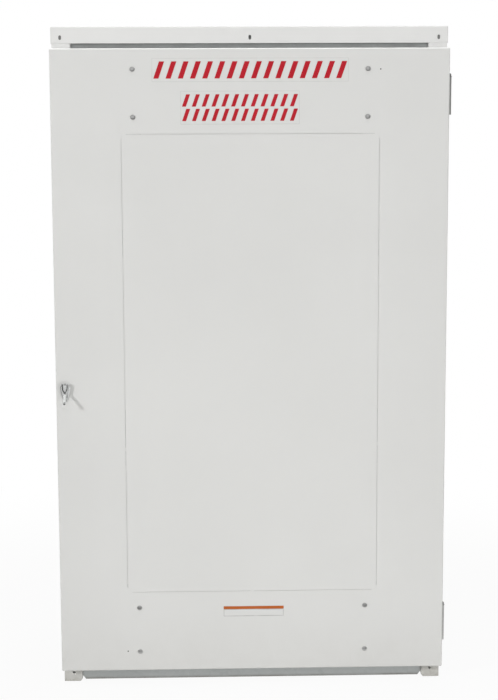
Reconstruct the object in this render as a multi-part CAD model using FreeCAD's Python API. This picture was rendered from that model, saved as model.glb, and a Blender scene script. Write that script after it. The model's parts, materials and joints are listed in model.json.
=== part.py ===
# Gas bottle cabinet: a folded-sheet locker with one full-height door, two shelves and a quarter-turn latch.
# Millimetres, +Z up, the door faces -Y, +X is the hinge side. The origin is on the floor, midway between
# the two side panels and midway between the latch lever's tip and the rear edge of the roof cap.
import FreeCAD
import Part
import math
import os

Vector = FreeCAD.Vector
X = Vector(1, 0, 0)
Y = Vector(0, 1, 0)
Z = Vector(0, 0, 1)

# Cabinet body
BODY_WIDTH = 1012.0
BODY_DEPTH = 700.0
OVERALL_HEIGHT = 1731.0
SHEET = 1.5
BACK_SHEET = 1.2
BEND_RADIUS = 1.5
FIT_GAP = 0.25

# Side panels: front stile with its lip, rear flange, floor flange
STILE_WIDTH = 48.5
STILE_LIP = 20.0
REAR_FLANGE = 30.0
FLOOR_FLANGE = 40.0
FLOOR_EDGE_RADIUS = 2.5
FOOT_CHAMFER_WIDTH = 5.0
FOOT_CHAMFER_HEIGHT = 7.0
FOOT_HOLE_RADIUS = 3.25
FOOT_HOLE_INSET = 25.5
FOOT_HOLE_HEIGHT = 24.0
ANCHOR_RADIUS = 5.5
ANCHOR_INSET = 22.0
ANCHOR_END_INSET = 90.0
VENT_LENGTH = 70.0
VENT_WIDTH = 8.0
VENT_PITCH = 38.0
VENT_END_INSET = 110.0
VENT_ROW_INSET = 75.0

# Roof cap
CAP_FLANGE = 42.0
CAP_CLEARANCE = 0.5
CAP_SLOT_LENGTH = 11.5
CAP_SLOT_WIDTH = 7.0
CAP_SLOT_RISE = 14.5
CAP_SLOT_INSET = 24.0

# Floor pan and header rail, both set back between the stiles
FLOOR_TOP = 60.0
FLOOR_SKIRT = 35.0
SILL_SETBACK = 10.0
SILL_CLEARANCE = 2.0
SILL_CHAMFER_WIDTH = 8.0
SILL_CHAMFER_HEIGHT = 11.0
ACCESS_RADIUS = 13.0
HEADER_SETBACK = 12.0
HEADER_HEIGHT = 88.0
HEADER_LEG = 28.0

# Shelves and their rails
LOWER_SHELF_TOP = 616.0
UPPER_SHELF_TOP = 1172.0
SHELF_SKIRT = 30.0
SHELF_SIDE_GAP = 1.0
SHELF_END_GAP = 2.0
SHELF_SLOT_LENGTH = 70.0
SHELF_SLOT_WIDTH = 14.0
SHELF_SLOT_PITCH_X = 110.0
SHELF_SLOT_PITCH_Y = 80.0
SHELF_SLOT_MARGIN = 50.0
RAIL_SHEET = 2.0
RAIL_LEDGE = 25.0
RAIL_DROP = 30.0
RAIL_END_GAP = 20.0

# Blind rivets
RIVET_HEAD_RADIUS = 4.75
RIVET_HEAD_HEIGHT = 1.6
RIVET_RADIUS = 2.4
RIVET_TAIL_RADIUS = 3.4
RIVET_TAIL_HEIGHT = 3.0
RIVET_CLEARANCE = 0.1
BACK_RIVET_PITCH = 200.0
RIVET_END_INSET = 60.0

# Door tray
DOOR_OVERLAP = 3.25
DOOR_BOTTOM = 39.0
DOOR_TOP_GAP = 14.0
DOOR_DEPTH = 27.5
DOOR_SHEET = 1.5
DOOR_LIP = 17.0

# Slit outline in the door sheet, and the bridges left across it
OUTLINE_WIDTH = 661.0
OUTLINE_END_INSET = 215.5
SLIT_WIDTH = 0.6
SLIT_BRIDGE = 9.0
SLIT_CORNER = 12.0
TOP_BRIDGES = [24.0]
BOTTOM_BRIDGES = [0.0]
LEFT_BRIDGES = [-216.0, 261.0]
RIGHT_BRIDGES = [-207.0, 232.0]

# Door stiffeners and the bolts that hold them
STIFFENER_SPACING = 600.0
STIFFENER_WIDTH = 40.0
STIFFENER_DEPTH = 18.0
STIFFENER_SHEET = 1.5
STIFFENER_END_GAP = 2.0
BOLT_OUTER_INSET = 52.0
BOLT_INNER_INSET = 172.5
BOLT_HEAD_RADIUS = 6.25
BOLT_HEAD_HEIGHT = 3.0
BOLT_RADIUS = 3.0
BOLT_CLEARANCE = 0.1
BOLT_END = 2.0
NUT_ACROSS_FLATS = 10.0
NUT_HEIGHT = 5.0
THREAD_CLEARANCE = 0.05

# Hinges: knuckled leaves folded into the door gap, pin with a button head
HINGE_LENGTH = 95.0
HINGE_TOP_INSET = 121.0
HINGE_BOTTOM_INSET = 113.0
HINGE_KNUCKLES = 5
KNUCKLE_RADIUS = 4.2
KNUCKLE_GAP = 0.3
HINGE_CLEARANCE = 0.55
LEAF_SHEET = 2.0
LEAF_GAP = 0.5
FRAME_LEAF_WIDTH = 33.0
DOOR_LEAF_INSET = 1.5
PIN_RADIUS = 2.0
PIN_CLEARANCE = 0.05
PIN_FLANGE_LIP = 0.7
PIN_FLANGE_HEIGHT = 3.0
PIN_BUTTON_RADIUS = 3.4
PIN_BUTTON_HEIGHT = 7.0
SCREWS_PER_LEAF = 3
SCREW_END_INSET = 14.0
SCREW_RADIUS = 2.0
SCREW_HEAD_RADIUS = 3.8
SCREW_LAND = 0.2
SCREW_LENGTH = 10.0
SCREW_CLEARANCE = 0.1

# Latch
LATCH_HEIGHT = 805.0
SPINDLE_RADIUS = 4.0
SPINDLE_CLEARANCE = 0.05
SPINDLE_LIP_GAP = 3.25
SPINDLE_END = 2.0
ESCUTCHEON_RADIUS = 13.0
ESCUTCHEON_TAIL_RADIUS = 6.0
ESCUTCHEON_TAIL_DROP = 30.0
ESCUTCHEON_HEIGHT = 3.0
ESCUTCHEON_CHAMFER = 1.2
BUSH_RADIUS = 8.0
BUSH_LENGTH = 14.0
BUSH_CLEARANCE = 0.2
BUSH_NUT_ACROSS_FLATS = 22.0
BUSH_NUT_HEIGHT = 5.0
LEVER_GAP = 0.3
LEVER_BOSS_WIDTH = 18.0
LEVER_BOSS_LENGTH = 29.0
LEVER_BOSS_HEIGHT = 12.0
LEVER_BOSS_ROUND = 3.0
LEVER_ROOT_DROP = 4.0
LEVER_ROOT_WIDTH = 10.0
LEVER_ROOT_THICKNESS = 8.0
LEVER_DROP = 36.0
LEVER_REACH = 40.0
LEVER_TIP_WIDTH = 7.0
LEVER_TIP_THICKNESS = 4.5
LEVER_EDGE_ROUND = 1.6
SPINDLE_SOCKET = 7.0
KEEPER_SHEET = 3.0
KEEPER_BEND_GAP = 1.0
KEEPER_HEIGHT = 60.0
CAM_WALL_GAP = 2.5
CAM_WIDTH = 12.0
CAM_SHEET = 4.0
CAM_GAP = 1.0
CAM_SLOT_CLEARANCE = 1.6
SPINDLE_TAIL_RADIUS = 3.0
CAM_NUT_ACROSS_FLATS = 10.0
CAM_NUT_HEIGHT = 5.0

# Rubber bumpers between the stiles and the door
BUMPER_RADIUS = 5.0
BUMPER_GAP = 0.3
BUMPER_SIDE_INSET = 7.0
BUMPER_END_INSET = 260.0

# Vinyl on the door face: two films with slanted stripes, and a label
VINYL = 0.2
FILM_SIDE_MARGIN = 4.0
FILM_END_MARGIN = 8.5
STRIPE_SLANT = 0.35
TITLE_STRIPE_WIDTH = 13.0
TITLE_STRIPE_HEIGHT = 43.0
TITLE_STRIPE_PITCH = 31.0
TITLE_STRIPES = 16
TITLE_DROP = 54.5
TITLE_OFFSET = 0.0
NOTICE_STRIPE_WIDTH = 10.0
NOTICE_STRIPE_HEIGHT = 31.0
NOTICE_STRIPE_PITCH = 25.0
NOTICE_STRIPES = 12
NOTICE_UPPER_DROP = 131.0
NOTICE_LOWER_DROP = 167.5
NOTICE_OFFSET = -26.5
LABEL_WIDTH = 160.0
LABEL_HEIGHT = 27.5
LABEL_BAND = 8.0
LABEL_OFFSET = 3.5
LABEL_RISE = 160.0

# Places that follow from the sizes above
HALF_WIDTH = BODY_WIDTH / 2
INNER_HALF = HALF_WIDTH - SHEET
OPENING_HALF = HALF_WIDTH - STILE_WIDTH
CAP_OVERHANG = CAP_CLEARANCE + SHEET
DOOR_GAP = 2 * LEAF_SHEET + LEAF_GAP
DOOR_PROUD = DOOR_DEPTH + DOOR_GAP
TOTAL_DEPTH = LEVER_REACH + DOOR_PROUD + BODY_DEPTH + CAP_OVERHANG
FRONT = LEVER_REACH + DOOR_PROUD - TOTAL_DEPTH / 2
BACK = FRONT + BODY_DEPTH
PANEL_BACK = BACK - BACK_SHEET
FLANGE_FRONT = PANEL_BACK - SHEET
ROOF_UNDER = OVERALL_HEIGHT - SHEET
PANEL_TOP = ROOF_UNDER - BEND_RADIUS
CAP_BOTTOM = OVERALL_HEIGHT - CAP_FLANGE
CAP_MIDDLE = CAP_BOTTOM + CAP_FLANGE / 2
CAP_SLOT_X = HALF_WIDTH + CAP_OVERHANG - CAP_SLOT_INSET
LIP_END = FRONT + STILE_LIP
DOOR_HALF = HALF_WIDTH + DOOR_OVERLAP
DOOR_TOP = CAP_BOTTOM - DOOR_TOP_GAP
DOOR_FACE = FRONT - DOOR_PROUD
DOOR_REAR = FRONT - DOOR_GAP
SKIN_INNER = DOOR_FACE + DOOR_SHEET
OUTLINE_TOP = DOOR_TOP - OUTLINE_END_INSET
OUTLINE_BOTTOM = DOOR_BOTTOM + OUTLINE_END_INSET
HINGE_X = DOOR_HALF + HINGE_CLEARANCE + KNUCKLE_RADIUS
HINGE_Y = FRONT - DOOR_GAP / 2
DOOR_LEAF_WIDTH = DOOR_LIP - DOOR_LEAF_INSET
PIN_FLANGE_RADIUS = KNUCKLE_RADIUS + PIN_FLANGE_LIP
SCREW_HEAD_HEIGHT = LEAF_SHEET - SCREW_LAND
UPPER_HINGE = DOOR_TOP - HINGE_TOP_INSET - HINGE_LENGTH / 2
LOWER_HINGE = DOOR_BOTTOM + HINGE_BOTTOM_INSET - HINGE_LENGTH / 2
LATCH_X = DOOR_LIP + SPINDLE_LIP_GAP + SPINDLE_RADIUS - DOOR_HALF
LATCH_TO_WALL = LATCH_X + INNER_HALF
KEEPER_WIDTH = 2 * (LATCH_TO_WALL - BEND_RADIUS - KEEPER_BEND_GAP)
CAM_LENGTH = 2 * (LATCH_TO_WALL - CAM_WALL_GAP)
KEEPER_BACK = FRONT + SHEET + KEEPER_SHEET
CAM_FRONT = KEEPER_BACK + CAM_GAP
SPINDLE_TAIL = CAM_FRONT + CAM_SHEET + CAM_NUT_HEIGHT + SPINDLE_END
BOSS_FOOT = ESCUTCHEON_HEIGHT + LEVER_GAP
CAM_SLOT_WIDTH = CAM_WIDTH + 2 * CAM_SLOT_CLEARANCE
CAM_SLOT_LENGTH = CAM_LENGTH + 2 * CAM_SLOT_CLEARANCE
FILM_FACE = DOOR_FACE - VINYL
TITLE_ROW = (TITLE_STRIPES, TITLE_STRIPE_PITCH, TITLE_STRIPE_WIDTH, TITLE_STRIPE_HEIGHT, TITLE_OFFSET)
NOTICE_ROW = (NOTICE_STRIPES, NOTICE_STRIPE_PITCH, NOTICE_STRIPE_WIDTH, NOTICE_STRIPE_HEIGHT, NOTICE_OFFSET)
LABEL_BOTTOM = DOOR_BOTTOM + LABEL_RISE - LABEL_HEIGHT / 2
BAND_BOTTOM = LABEL_BOTTOM + LABEL_HEIGHT - LABEL_BAND
SHELF_TOPS = {"lower": LOWER_SHELF_TOP, "upper": UPPER_SHELF_TOP}


# Basic solids
def box(x0, x1, y0, y1, z0, z1):
    return Part.makeBox(x1 - x0, y1 - y0, z1 - z0, Vector(x0, y0, z0))


def one_solid(shape):
    return shape.removeSplitter().Solids[0]


def placed(shape, point, axis):
    moved = shape.copy()
    moved.Placement = FreeCAD.Placement(point, FreeCAD.Rotation(Z, axis))
    return moved


def drilled(shape, points, axis, radius, depth):
    tools = [Part.makeCylinder(radius, depth, p - axis * (depth / 2), axis) for p in points]
    return shape.cut(Part.makeCompound(tools))


def rounded_face(points, radii):
    corners = []
    for i, point in enumerate(points):
        before = (points[i - 1] - point).normalize()
        after = (points[(i + 1) % len(points)] - point).normalize()
        half = before.getAngle(after) / 2
        reach = radii[i] / math.tan(half)
        bisector = (before + after).normalize() if radii[i] else before
        middle = point + bisector * (radii[i] / math.sin(half) - radii[i])
        corners.append((point + before * reach, middle, point + after * reach))
    edges = []
    for i, (start, middle, end) in enumerate(corners):
        if radii[i]:
            edges.append(Part.Arc(start, middle, end).toShape())
        edges.append(Part.makeLine(end, corners[(i + 1) % len(corners)][0]))
    return Part.Face(Part.Wire(edges))


# Outline of a sheet bent along a path of right-angled runs; the sheet lies to the right of the path
def bent_strip(path, thickness, bend):
    runs = [(b[0] - a[0], b[1] - a[1]) for a, b in zip(path, path[1:])]
    sides = [(dy / math.hypot(dx, dy), -dx / math.hypot(dx, dy)) for dx, dy in runs]
    inner = []
    outer_radii = []
    inner_radii = []
    for i, (px, py) in enumerate(path):
        near = {sides[max(i - 1, 0)], sides[min(i, len(sides) - 1)]}
        inner.append((px + thickness * sum(n[0] for n in near), py + thickness * sum(n[1] for n in near)))
        ends = len(near) == 1
        turn = 0 if ends else runs[i - 1][0] * runs[i][1] - runs[i - 1][1] * runs[i][0]
        outer_radii.append(0 if ends else bend + thickness if turn < 0 else bend)
        inner_radii.append(0 if ends else bend if turn < 0 else bend + thickness)
    return path + inner[::-1], outer_radii + inner_radii[::-1]


def bent_along_z(path, thickness, z0, z1):
    outline, radii = bent_strip(path, thickness, BEND_RADIUS)
    return rounded_face([Vector(x, y, z0) for x, y in outline], radii).extrude(Z * (z1 - z0))


def bent_along_x(path, thickness, x0, x1):
    outline, radii = bent_strip(path, thickness, BEND_RADIUS)
    return rounded_face([Vector(x0, y, z) for y, z in outline], radii).extrude(X * (x1 - x0))


def slot_tool(centre, along, normal, length, width, depth):
    base = centre - normal * (depth / 2)
    run = along * ((length - width) / 2)
    side = normal.cross(along) * (width / 2)
    tip = along * (length / 2)
    edges = [
        Part.makeLine(base + run + side, base - run + side),
        Part.Arc(base - run + side, base - tip, base - run - side).toShape(),
        Part.makeLine(base - run - side, base + run - side),
        Part.Arc(base + run - side, base + tip, base + run + side).toShape(),
    ]
    return Part.Face(Part.Wire(edges)).extrude(normal * depth)


def turned(profile):
    points = [Vector(r, 0, z) for r, z in profile]
    return Part.Face(Part.makePolygon(points + points[:1])).revolve(Vector(), Z, 360)


# Domed head above z = 0, shank below it, and an upset tail under the grip where one is given
def domed_pin(head_radius, head_height, radius, length, tail_radius, tail_height):
    dome = (head_radius ** 2 + head_height ** 2) / (2 * head_height)
    angle = math.asin(head_radius / dome) / 2
    middle = Vector(dome * math.sin(angle), 0, head_height - dome + dome * math.cos(angle))
    bottom = -length - tail_height
    profile = [(0, head_height), (0, bottom), (tail_radius, bottom), (tail_radius, -length)]
    profile += [(radius, -length), (radius, 0), (head_radius, 0)]
    points = [Vector(r, 0, z) for r, z in profile]
    edges = [Part.makeLine(a, b) for a, b in zip(points, points[1:]) if a.distanceToPoint(b)]
    edges.append(Part.Arc(points[-1], middle, points[0]).toShape())
    return Part.Face(Part.Wire(edges)).revolve(Vector(), Z, 360)


def rivets(points, axis, grip):
    head = (RIVET_HEAD_RADIUS, RIVET_HEAD_HEIGHT)
    pin = domed_pin(*head, RIVET_RADIUS, grip, RIVET_TAIL_RADIUS, RIVET_TAIL_HEIGHT)
    return [placed(pin, point, axis) for point in points]


def riveted(shape, points, axis):
    reach = 4 * (SHEET + RAIL_SHEET + CAP_CLEARANCE)
    return drilled(shape, points, axis, RIVET_RADIUS + RIVET_CLEARANCE, reach)


def hex_nut(across_flats, height, bore):
    radius = across_flats / math.sqrt(3)
    angles = [k * math.pi / 3 for k in range(7)]
    corners = [Vector(radius * math.cos(a), radius * math.sin(a), 0) for a in angles]
    prism = Part.Face(Part.makePolygon(corners)).extrude(Z * height)
    return prism.cut(Part.makeCylinder(bore, height))


def spread(low, high, pitch):
    count = max(2, int((high - low) / pitch) + 1)
    return [low + (high - low) * k / (count - 1) for k in range(count)]


# Fastener places, shared by the sheets and by the fasteners themselves
def rail_rivet_points(side, top):
    height = top - SHELF_SKIRT - (RAIL_DROP + RAIL_SHEET) / 2
    low = LIP_END + RAIL_END_GAP + RIVET_END_INSET
    high = FLANGE_FRONT - RAIL_END_GAP - RIVET_END_INSET
    return [Vector(side * HALF_WIDTH, y, height) for y in (low, (low + high) / 2, high)]


def floor_rivet_points(side):
    height = FLOOR_TOP - FLOOR_SKIRT / 2
    low = LIP_END + RIVET_END_INSET
    high = FLANGE_FRONT - RIVET_END_INSET
    return [Vector(side * HALF_WIDTH, y, height) for y in (low, (low + high) / 2, high)]


def cap_side_rivet_points(side):
    low = FRONT + RIVET_END_INSET
    high = BACK - RIVET_END_INSET
    return [Vector(side * (HALF_WIDTH + CAP_OVERHANG), y, CAP_MIDDLE) for y in (low, (low + high) / 2, high)]


def cap_back_rivet_points():
    reach = HALF_WIDTH / 2
    return [Vector(x, BACK + CAP_OVERHANG, CAP_MIDDLE) for x in (-reach, 0, reach)]


def back_rivet_points(side):
    heights = spread(RIVET_END_INSET + FLOOR_TOP, CAP_BOTTOM - RIVET_END_INSET, BACK_RIVET_PITCH)
    return [Vector(side * (HALF_WIDTH - REAR_FLANGE / 2), BACK, z) for z in heights]


def sill_rivet_points():
    reach = HALF_WIDTH / 2
    return [Vector(x, BACK, FLOOR_TOP - FLOOR_SKIRT / 2) for x in (-reach, 0, reach)]


def anchor_points(height):
    places = (FRONT + ANCHOR_END_INSET, PANEL_BACK - ANCHOR_END_INSET)
    return [Vector(s * (HALF_WIDTH - ANCHOR_INSET), y, height) for s in (-1, 1) for y in places]


def door_bolt_points():
    insets = (BOLT_OUTER_INSET, BOLT_INNER_INSET)
    heights = [DOOR_BOTTOM + i for i in insets] + [DOOR_TOP - i for i in insets]
    return [Vector(s * STIFFENER_SPACING / 2, DOOR_FACE, z) for s in (-1, 1) for z in heights]


def leaf_screw_points(bottom, x, y):
    low = bottom + SCREW_END_INSET
    step = (HINGE_LENGTH - 2 * SCREW_END_INSET) / (SCREWS_PER_LEAF - 1)
    return [Vector(x, y, low + k * step) for k in range(SCREWS_PER_LEAF)]


def frame_screw_points(bottom):
    plate_edge = HINGE_X - KNUCKLE_RADIUS - HINGE_CLEARANCE
    return leaf_screw_points(bottom, plate_edge - FRAME_LEAF_WIDTH * 2 / 3, FRONT - LEAF_SHEET)


def door_screw_points(bottom):
    plate_edge = HINGE_X - KNUCKLE_RADIUS - HINGE_CLEARANCE
    return leaf_screw_points(bottom, plate_edge - DOOR_LEAF_WIDTH / 2, DOOR_REAR + LEAF_SHEET)


# Upright slot through the cap's front flange
def sign_slot_tool(x):
    centre = Vector(x, FRONT - CAP_OVERHANG + SHEET / 2, CAP_BOTTOM + CAP_SLOT_RISE)
    return slot_tool(centre, Z, Y, CAP_SLOT_LENGTH, CAP_SLOT_WIDTH, SHEET + CAP_CLEARANCE)


# Side panels
def vent_tools(side):
    tools = []
    for height in (FLOOR_TOP + VENT_ROW_INSET, CAP_BOTTOM - VENT_ROW_INSET):
        for y in spread(FRONT + VENT_END_INSET, BACK - VENT_END_INSET, VENT_PITCH):
            centre = Vector(side * (HALF_WIDTH - SHEET / 2), y, height)
            tools.append(slot_tool(centre, Z, X, VENT_LENGTH, VENT_WIDTH, 4 * SHEET))
    return tools


def floor_edge_tool(side):
    r = FLOOR_EDGE_RADIUS
    corner = box(HALF_WIDTH - r, HALF_WIDTH + r, FRONT - r, BACK, -r, r)
    corner = corner.cut(Part.makeCylinder(r, BODY_DEPTH + 3 * r, Vector(HALF_WIDTH - r, FRONT - 2 * r, r), Y))
    return corner if side > 0 else corner.mirror(Vector(), X)


def foot_chamfer_tool(side):
    edge = side * OPENING_HALF
    corners = [
        Vector(edge, FRONT - SHEET, 0),
        Vector(edge + side * FOOT_CHAMFER_WIDTH, FRONT - SHEET, 0),
        Vector(edge, FRONT - SHEET, FOOT_CHAMFER_HEIGHT),
    ]
    face = Part.Face(Part.makePolygon(corners + corners[:1]))
    return face.extrude(Y * (STILE_LIP + 2 * SHEET))


def side_panel(side):
    path = [(-OPENING_HALF, LIP_END), (-OPENING_HALF, FRONT), (-HALF_WIDTH, FRONT)]
    path += [(-HALF_WIDTH, PANEL_BACK), (REAR_FLANGE - HALF_WIDTH, PANEL_BACK)]
    panel = bent_along_z(path, SHEET, 0, PANEL_TOP)
    ends = (FRONT + SHEET, FLANGE_FRONT)
    panel = panel.fuse(box(-INNER_HALF, FLOOR_FLANGE - INNER_HALF, ends[0], ends[1], 0, SHEET))
    if side > 0:
        panel = panel.mirror(Vector(), X)
    panel = panel.cut(Part.makeCompound(vent_tools(side)))
    panel = panel.cut(floor_edge_tool(side)).cut(foot_chamfer_tool(side))
    across = Vector(side, 0, 0)
    for top in SHELF_TOPS.values():
        panel = riveted(panel, rail_rivet_points(side, top), across)
    panel = riveted(panel, floor_rivet_points(side), across)
    panel = riveted(panel, cap_side_rivet_points(side), across)
    panel = riveted(panel, back_rivet_points(side), Y)
    foot_hole = Vector(side * (HALF_WIDTH - FOOT_HOLE_INSET), FRONT, FOOT_HOLE_HEIGHT)
    panel = drilled(panel, [foot_hole], Y, FOOT_HOLE_RADIUS, 4 * SHEET)
    panel = drilled(panel, [p for p in anchor_points(0) if p.x * side > 0], Z, ANCHOR_RADIUS, 4 * SHEET)
    return panel


def left_side_panel():
    return side_panel(-1).cut(cam_slot_tool())


def right_side_panel():
    panel = side_panel(1)
    for bottom in (UPPER_HINGE, LOWER_HINGE):
        panel = drilled(panel, frame_screw_points(bottom), Y, SCREW_RADIUS + SCREW_CLEARANCE, 8 * SHEET)
    return panel


def back_panel():
    edge = HALF_WIDTH - SHEET
    panel = box(-edge, edge, PANEL_BACK, BACK, SHEET, PANEL_TOP)
    for side in (-1, 1):
        panel = riveted(panel, back_rivet_points(side), Y)
    panel = riveted(panel, sill_rivet_points(), Y)
    return riveted(panel, cap_back_rivet_points(), Y)


# Roof cap: a shallow tray, open side down
def edges_at_top(shape, z):
    return [e for e in shape.Edges if abs(e.CenterOfMass.z - z) < 1e-6 or abs(e.tangentAt(0).z) > 0.9]


def roof_cap():
    reach = HALF_WIDTH + CAP_OVERHANG
    shell = box(-reach, reach, FRONT - CAP_OVERHANG, BACK + CAP_OVERHANG, CAP_BOTTOM, OVERALL_HEIGHT)
    shell = shell.makeFillet(BEND_RADIUS + SHEET, edges_at_top(shell, OVERALL_HEIGHT))
    inner = HALF_WIDTH + CAP_CLEARANCE
    ends = (FRONT - CAP_CLEARANCE, BACK + CAP_CLEARANCE)
    hollow = box(-inner, inner, ends[0], ends[1], CAP_BOTTOM - CAP_FLANGE, ROOF_UNDER)
    hollow = hollow.makeFillet(BEND_RADIUS, edges_at_top(hollow, ROOF_UNDER))
    cap = shell.cut(hollow)
    for x in (-CAP_SLOT_X, 0, CAP_SLOT_X):
        cap = cap.cut(sign_slot_tool(x))
    for side in (-1, 1):
        cap = riveted(cap, cap_side_rivet_points(side), X)
    return riveted(cap, cap_back_rivet_points(), Y)


def header_rail():
    face = FRONT + HEADER_SETBACK
    low = ROOF_UNDER - HEADER_HEIGHT
    path = [(face + HEADER_LEG, ROOF_UNDER), (face, ROOF_UNDER), (face, low), (face + HEADER_LEG, low)]
    reach = OPENING_HALF - FIT_GAP
    return bent_along_x(path[::-1], SHEET, -reach, reach)


# Floor pan: deck with skirts, its front skirt is the sill under the door
def floor_pan():
    reach = OPENING_HALF - FIT_GAP
    sill = FRONT + SILL_SETBACK
    deck_low = FLOOR_TOP - SHEET
    skirt_low = FLOOR_TOP - FLOOR_SKIRT
    notch = LIP_END + FIT_GAP
    pan = box(-INNER_HALF, INNER_HALF, notch, FLANGE_FRONT, deck_low, FLOOR_TOP)
    pan = pan.fuse(box(-reach, reach, sill, notch, deck_low, FLOOR_TOP))
    pan = pan.fuse(box(-INNER_HALF, INNER_HALF, FLANGE_FRONT - SHEET, FLANGE_FRONT, skirt_low, FLOOR_TOP))
    for x in (-INNER_HALF, INNER_HALF - SHEET):
        pan = pan.fuse(box(x, x + SHEET, notch, FLANGE_FRONT, skirt_low, FLOOR_TOP))
    relief = SHEET + BEND_RADIUS
    for x in (-INNER_HALF, INNER_HALF - relief):
        pan = pan.cut(box(x, x + relief, FLANGE_FRONT - relief, FLANGE_FRONT, skirt_low, FLOOR_TOP))
    corners = [
        Vector(-reach, sill, FLOOR_TOP),
        Vector(-reach, sill, SILL_CLEARANCE + SILL_CHAMFER_HEIGHT),
        Vector(SILL_CHAMFER_WIDTH - reach, sill, SILL_CLEARANCE),
        Vector(reach - SILL_CHAMFER_WIDTH, sill, SILL_CLEARANCE),
        Vector(reach, sill, SILL_CLEARANCE + SILL_CHAMFER_HEIGHT),
        Vector(reach, sill, FLOOR_TOP),
    ]
    pan = pan.fuse(Part.Face(Part.makePolygon(corners + corners[:1])).extrude(Y * SHEET))
    for side in (-1, 1):
        pan = riveted(pan, floor_rivet_points(side), X)
    pan = riveted(pan, sill_rivet_points(), Y)
    return drilled(pan, anchor_points(FLOOR_TOP), Z, ACCESS_RADIUS, 4 * SHEET)


# Shelves
def shelf(top):
    reach = INNER_HALF - SHELF_SIDE_GAP
    near = LIP_END + SHELF_END_GAP
    far = FLANGE_FRONT - SHELF_END_GAP
    deck = box(-reach, reach, near, far, top - SHELF_SKIRT, top)
    inner = reach - SHEET
    low = top - 2 * SHELF_SKIRT
    deck = deck.cut(box(-inner, inner, near + SHEET, far - SHEET, low, top - SHEET))
    margin = SHELF_SLOT_MARGIN + SHELF_SLOT_LENGTH / 2
    tools = []
    for x in spread(margin - reach, reach - margin, SHELF_SLOT_PITCH_X):
        for y in spread(near + SHELF_SLOT_MARGIN, far - SHELF_SLOT_MARGIN, SHELF_SLOT_PITCH_Y):
            tools.append(slot_tool(Vector(x, y, top), X, Z, SHELF_SLOT_LENGTH, SHELF_SLOT_WIDTH, 4 * SHEET))
    return deck.cut(Part.makeCompound(tools))


def shelf_rail(side, top):
    ledge = top - SHELF_SKIRT
    path = [(RAIL_LEDGE - INNER_HALF, ledge), (-INNER_HALF, ledge), (-INNER_HALF, ledge - RAIL_DROP)]
    outline, radii = bent_strip(path[::-1], RAIL_SHEET, BEND_RADIUS)
    near = LIP_END + RAIL_END_GAP
    far = FLANGE_FRONT - RAIL_END_GAP
    rail = rounded_face([Vector(x, near, z) for x, z in outline], radii).extrude(Y * (far - near))
    if side > 0:
        rail = rail.mirror(Vector(), X)
    return riveted(rail, rail_rivet_points(side, top), X)


# Door
def edges_at_face(shape, y):
    return [e for e in shape.Edges if abs(e.CenterOfMass.y - y) < 1e-6 or abs(e.tangentAt(0).y) > 0.9]


def slit_spans(length, bridges):
    ends = [SLIT_CORNER - length / 2]
    for bridge in bridges:
        ends += [bridge - SLIT_BRIDGE / 2, bridge + SLIT_BRIDGE / 2]
    ends.append(length / 2 - SLIT_CORNER)
    return list(zip(ends[::2], ends[1::2]))


def slit_tools():
    middle = (OUTLINE_TOP + OUTLINE_BOTTOM) / 2
    height = OUTLINE_TOP - OUTLINE_BOTTOM
    tools = []
    for z, bridges in ((OUTLINE_BOTTOM, BOTTOM_BRIDGES), (OUTLINE_TOP, TOP_BRIDGES)):
        for low, high in slit_spans(OUTLINE_WIDTH, bridges):
            centre = Vector((low + high) / 2, DOOR_FACE, z)
            tools.append(slot_tool(centre, X, Y, high - low, SLIT_WIDTH, 4 * DOOR_SHEET))
    for x, bridges in ((-OUTLINE_WIDTH / 2, LEFT_BRIDGES), (OUTLINE_WIDTH / 2, RIGHT_BRIDGES)):
        for low, high in slit_spans(height, bridges):
            centre = Vector(x, DOOR_FACE, middle + (low + high) / 2)
            tools.append(slot_tool(centre, Z, Y, high - low, SLIT_WIDTH, 4 * DOOR_SHEET))
    return tools


def door_skin():
    tray = box(-DOOR_HALF, DOOR_HALF, DOOR_FACE, DOOR_REAR, DOOR_BOTTOM, DOOR_TOP)
    tray = tray.makeFillet(BEND_RADIUS + DOOR_SHEET, edges_at_face(tray, DOOR_FACE))
    inner = DOOR_HALF - DOOR_SHEET
    low = DOOR_BOTTOM + DOOR_SHEET
    high = DOOR_TOP - DOOR_SHEET
    hollow = box(-inner, inner, SKIN_INNER, DOOR_REAR - DOOR_SHEET, low, high)
    hollow = hollow.makeFillet(BEND_RADIUS, edges_at_face(hollow, SKIN_INNER))
    mouth = DOOR_HALF - DOOR_LIP
    opening = box(-mouth, mouth, SKIN_INNER, DOOR_REAR, DOOR_BOTTOM + DOOR_LIP, DOOR_TOP - DOOR_LIP)
    skin = tray.cut(hollow).cut(opening)
    skin = skin.cut(Part.makeCompound(slit_tools()))
    skin = drilled(skin, door_bolt_points(), Y, BOLT_RADIUS + BOLT_CLEARANCE, 4 * DOOR_SHEET)
    spindle_hole = Vector(LATCH_X, DOOR_FACE, LATCH_HEIGHT)
    skin = drilled(skin, [spindle_hole], Y, BUSH_RADIUS + BUSH_CLEARANCE, 4 * DOOR_SHEET)
    for bottom in (UPPER_HINGE, LOWER_HINGE):
        skin = drilled(skin, door_screw_points(bottom), Y, SCREW_RADIUS + SCREW_CLEARANCE, SCREW_LENGTH)
    return skin


def door_stiffener(side):
    middle = side * STIFFENER_SPACING / 2
    half = STIFFENER_WIDTH / 2
    rear = SKIN_INNER + STIFFENER_DEPTH
    path = [(middle + half, rear), (middle + half, SKIN_INNER)]
    path += [(middle - half, SKIN_INNER), (middle - half, rear)]
    end = DOOR_SHEET + STIFFENER_END_GAP
    channel = bent_along_z(path, STIFFENER_SHEET, DOOR_BOTTOM + end, DOOR_TOP - end)
    points = [p for p in door_bolt_points() if p.x * side > 0]
    return drilled(channel, points, Y, BOLT_RADIUS + BOLT_CLEARANCE, 4 * (DOOR_SHEET + STIFFENER_SHEET))


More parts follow.
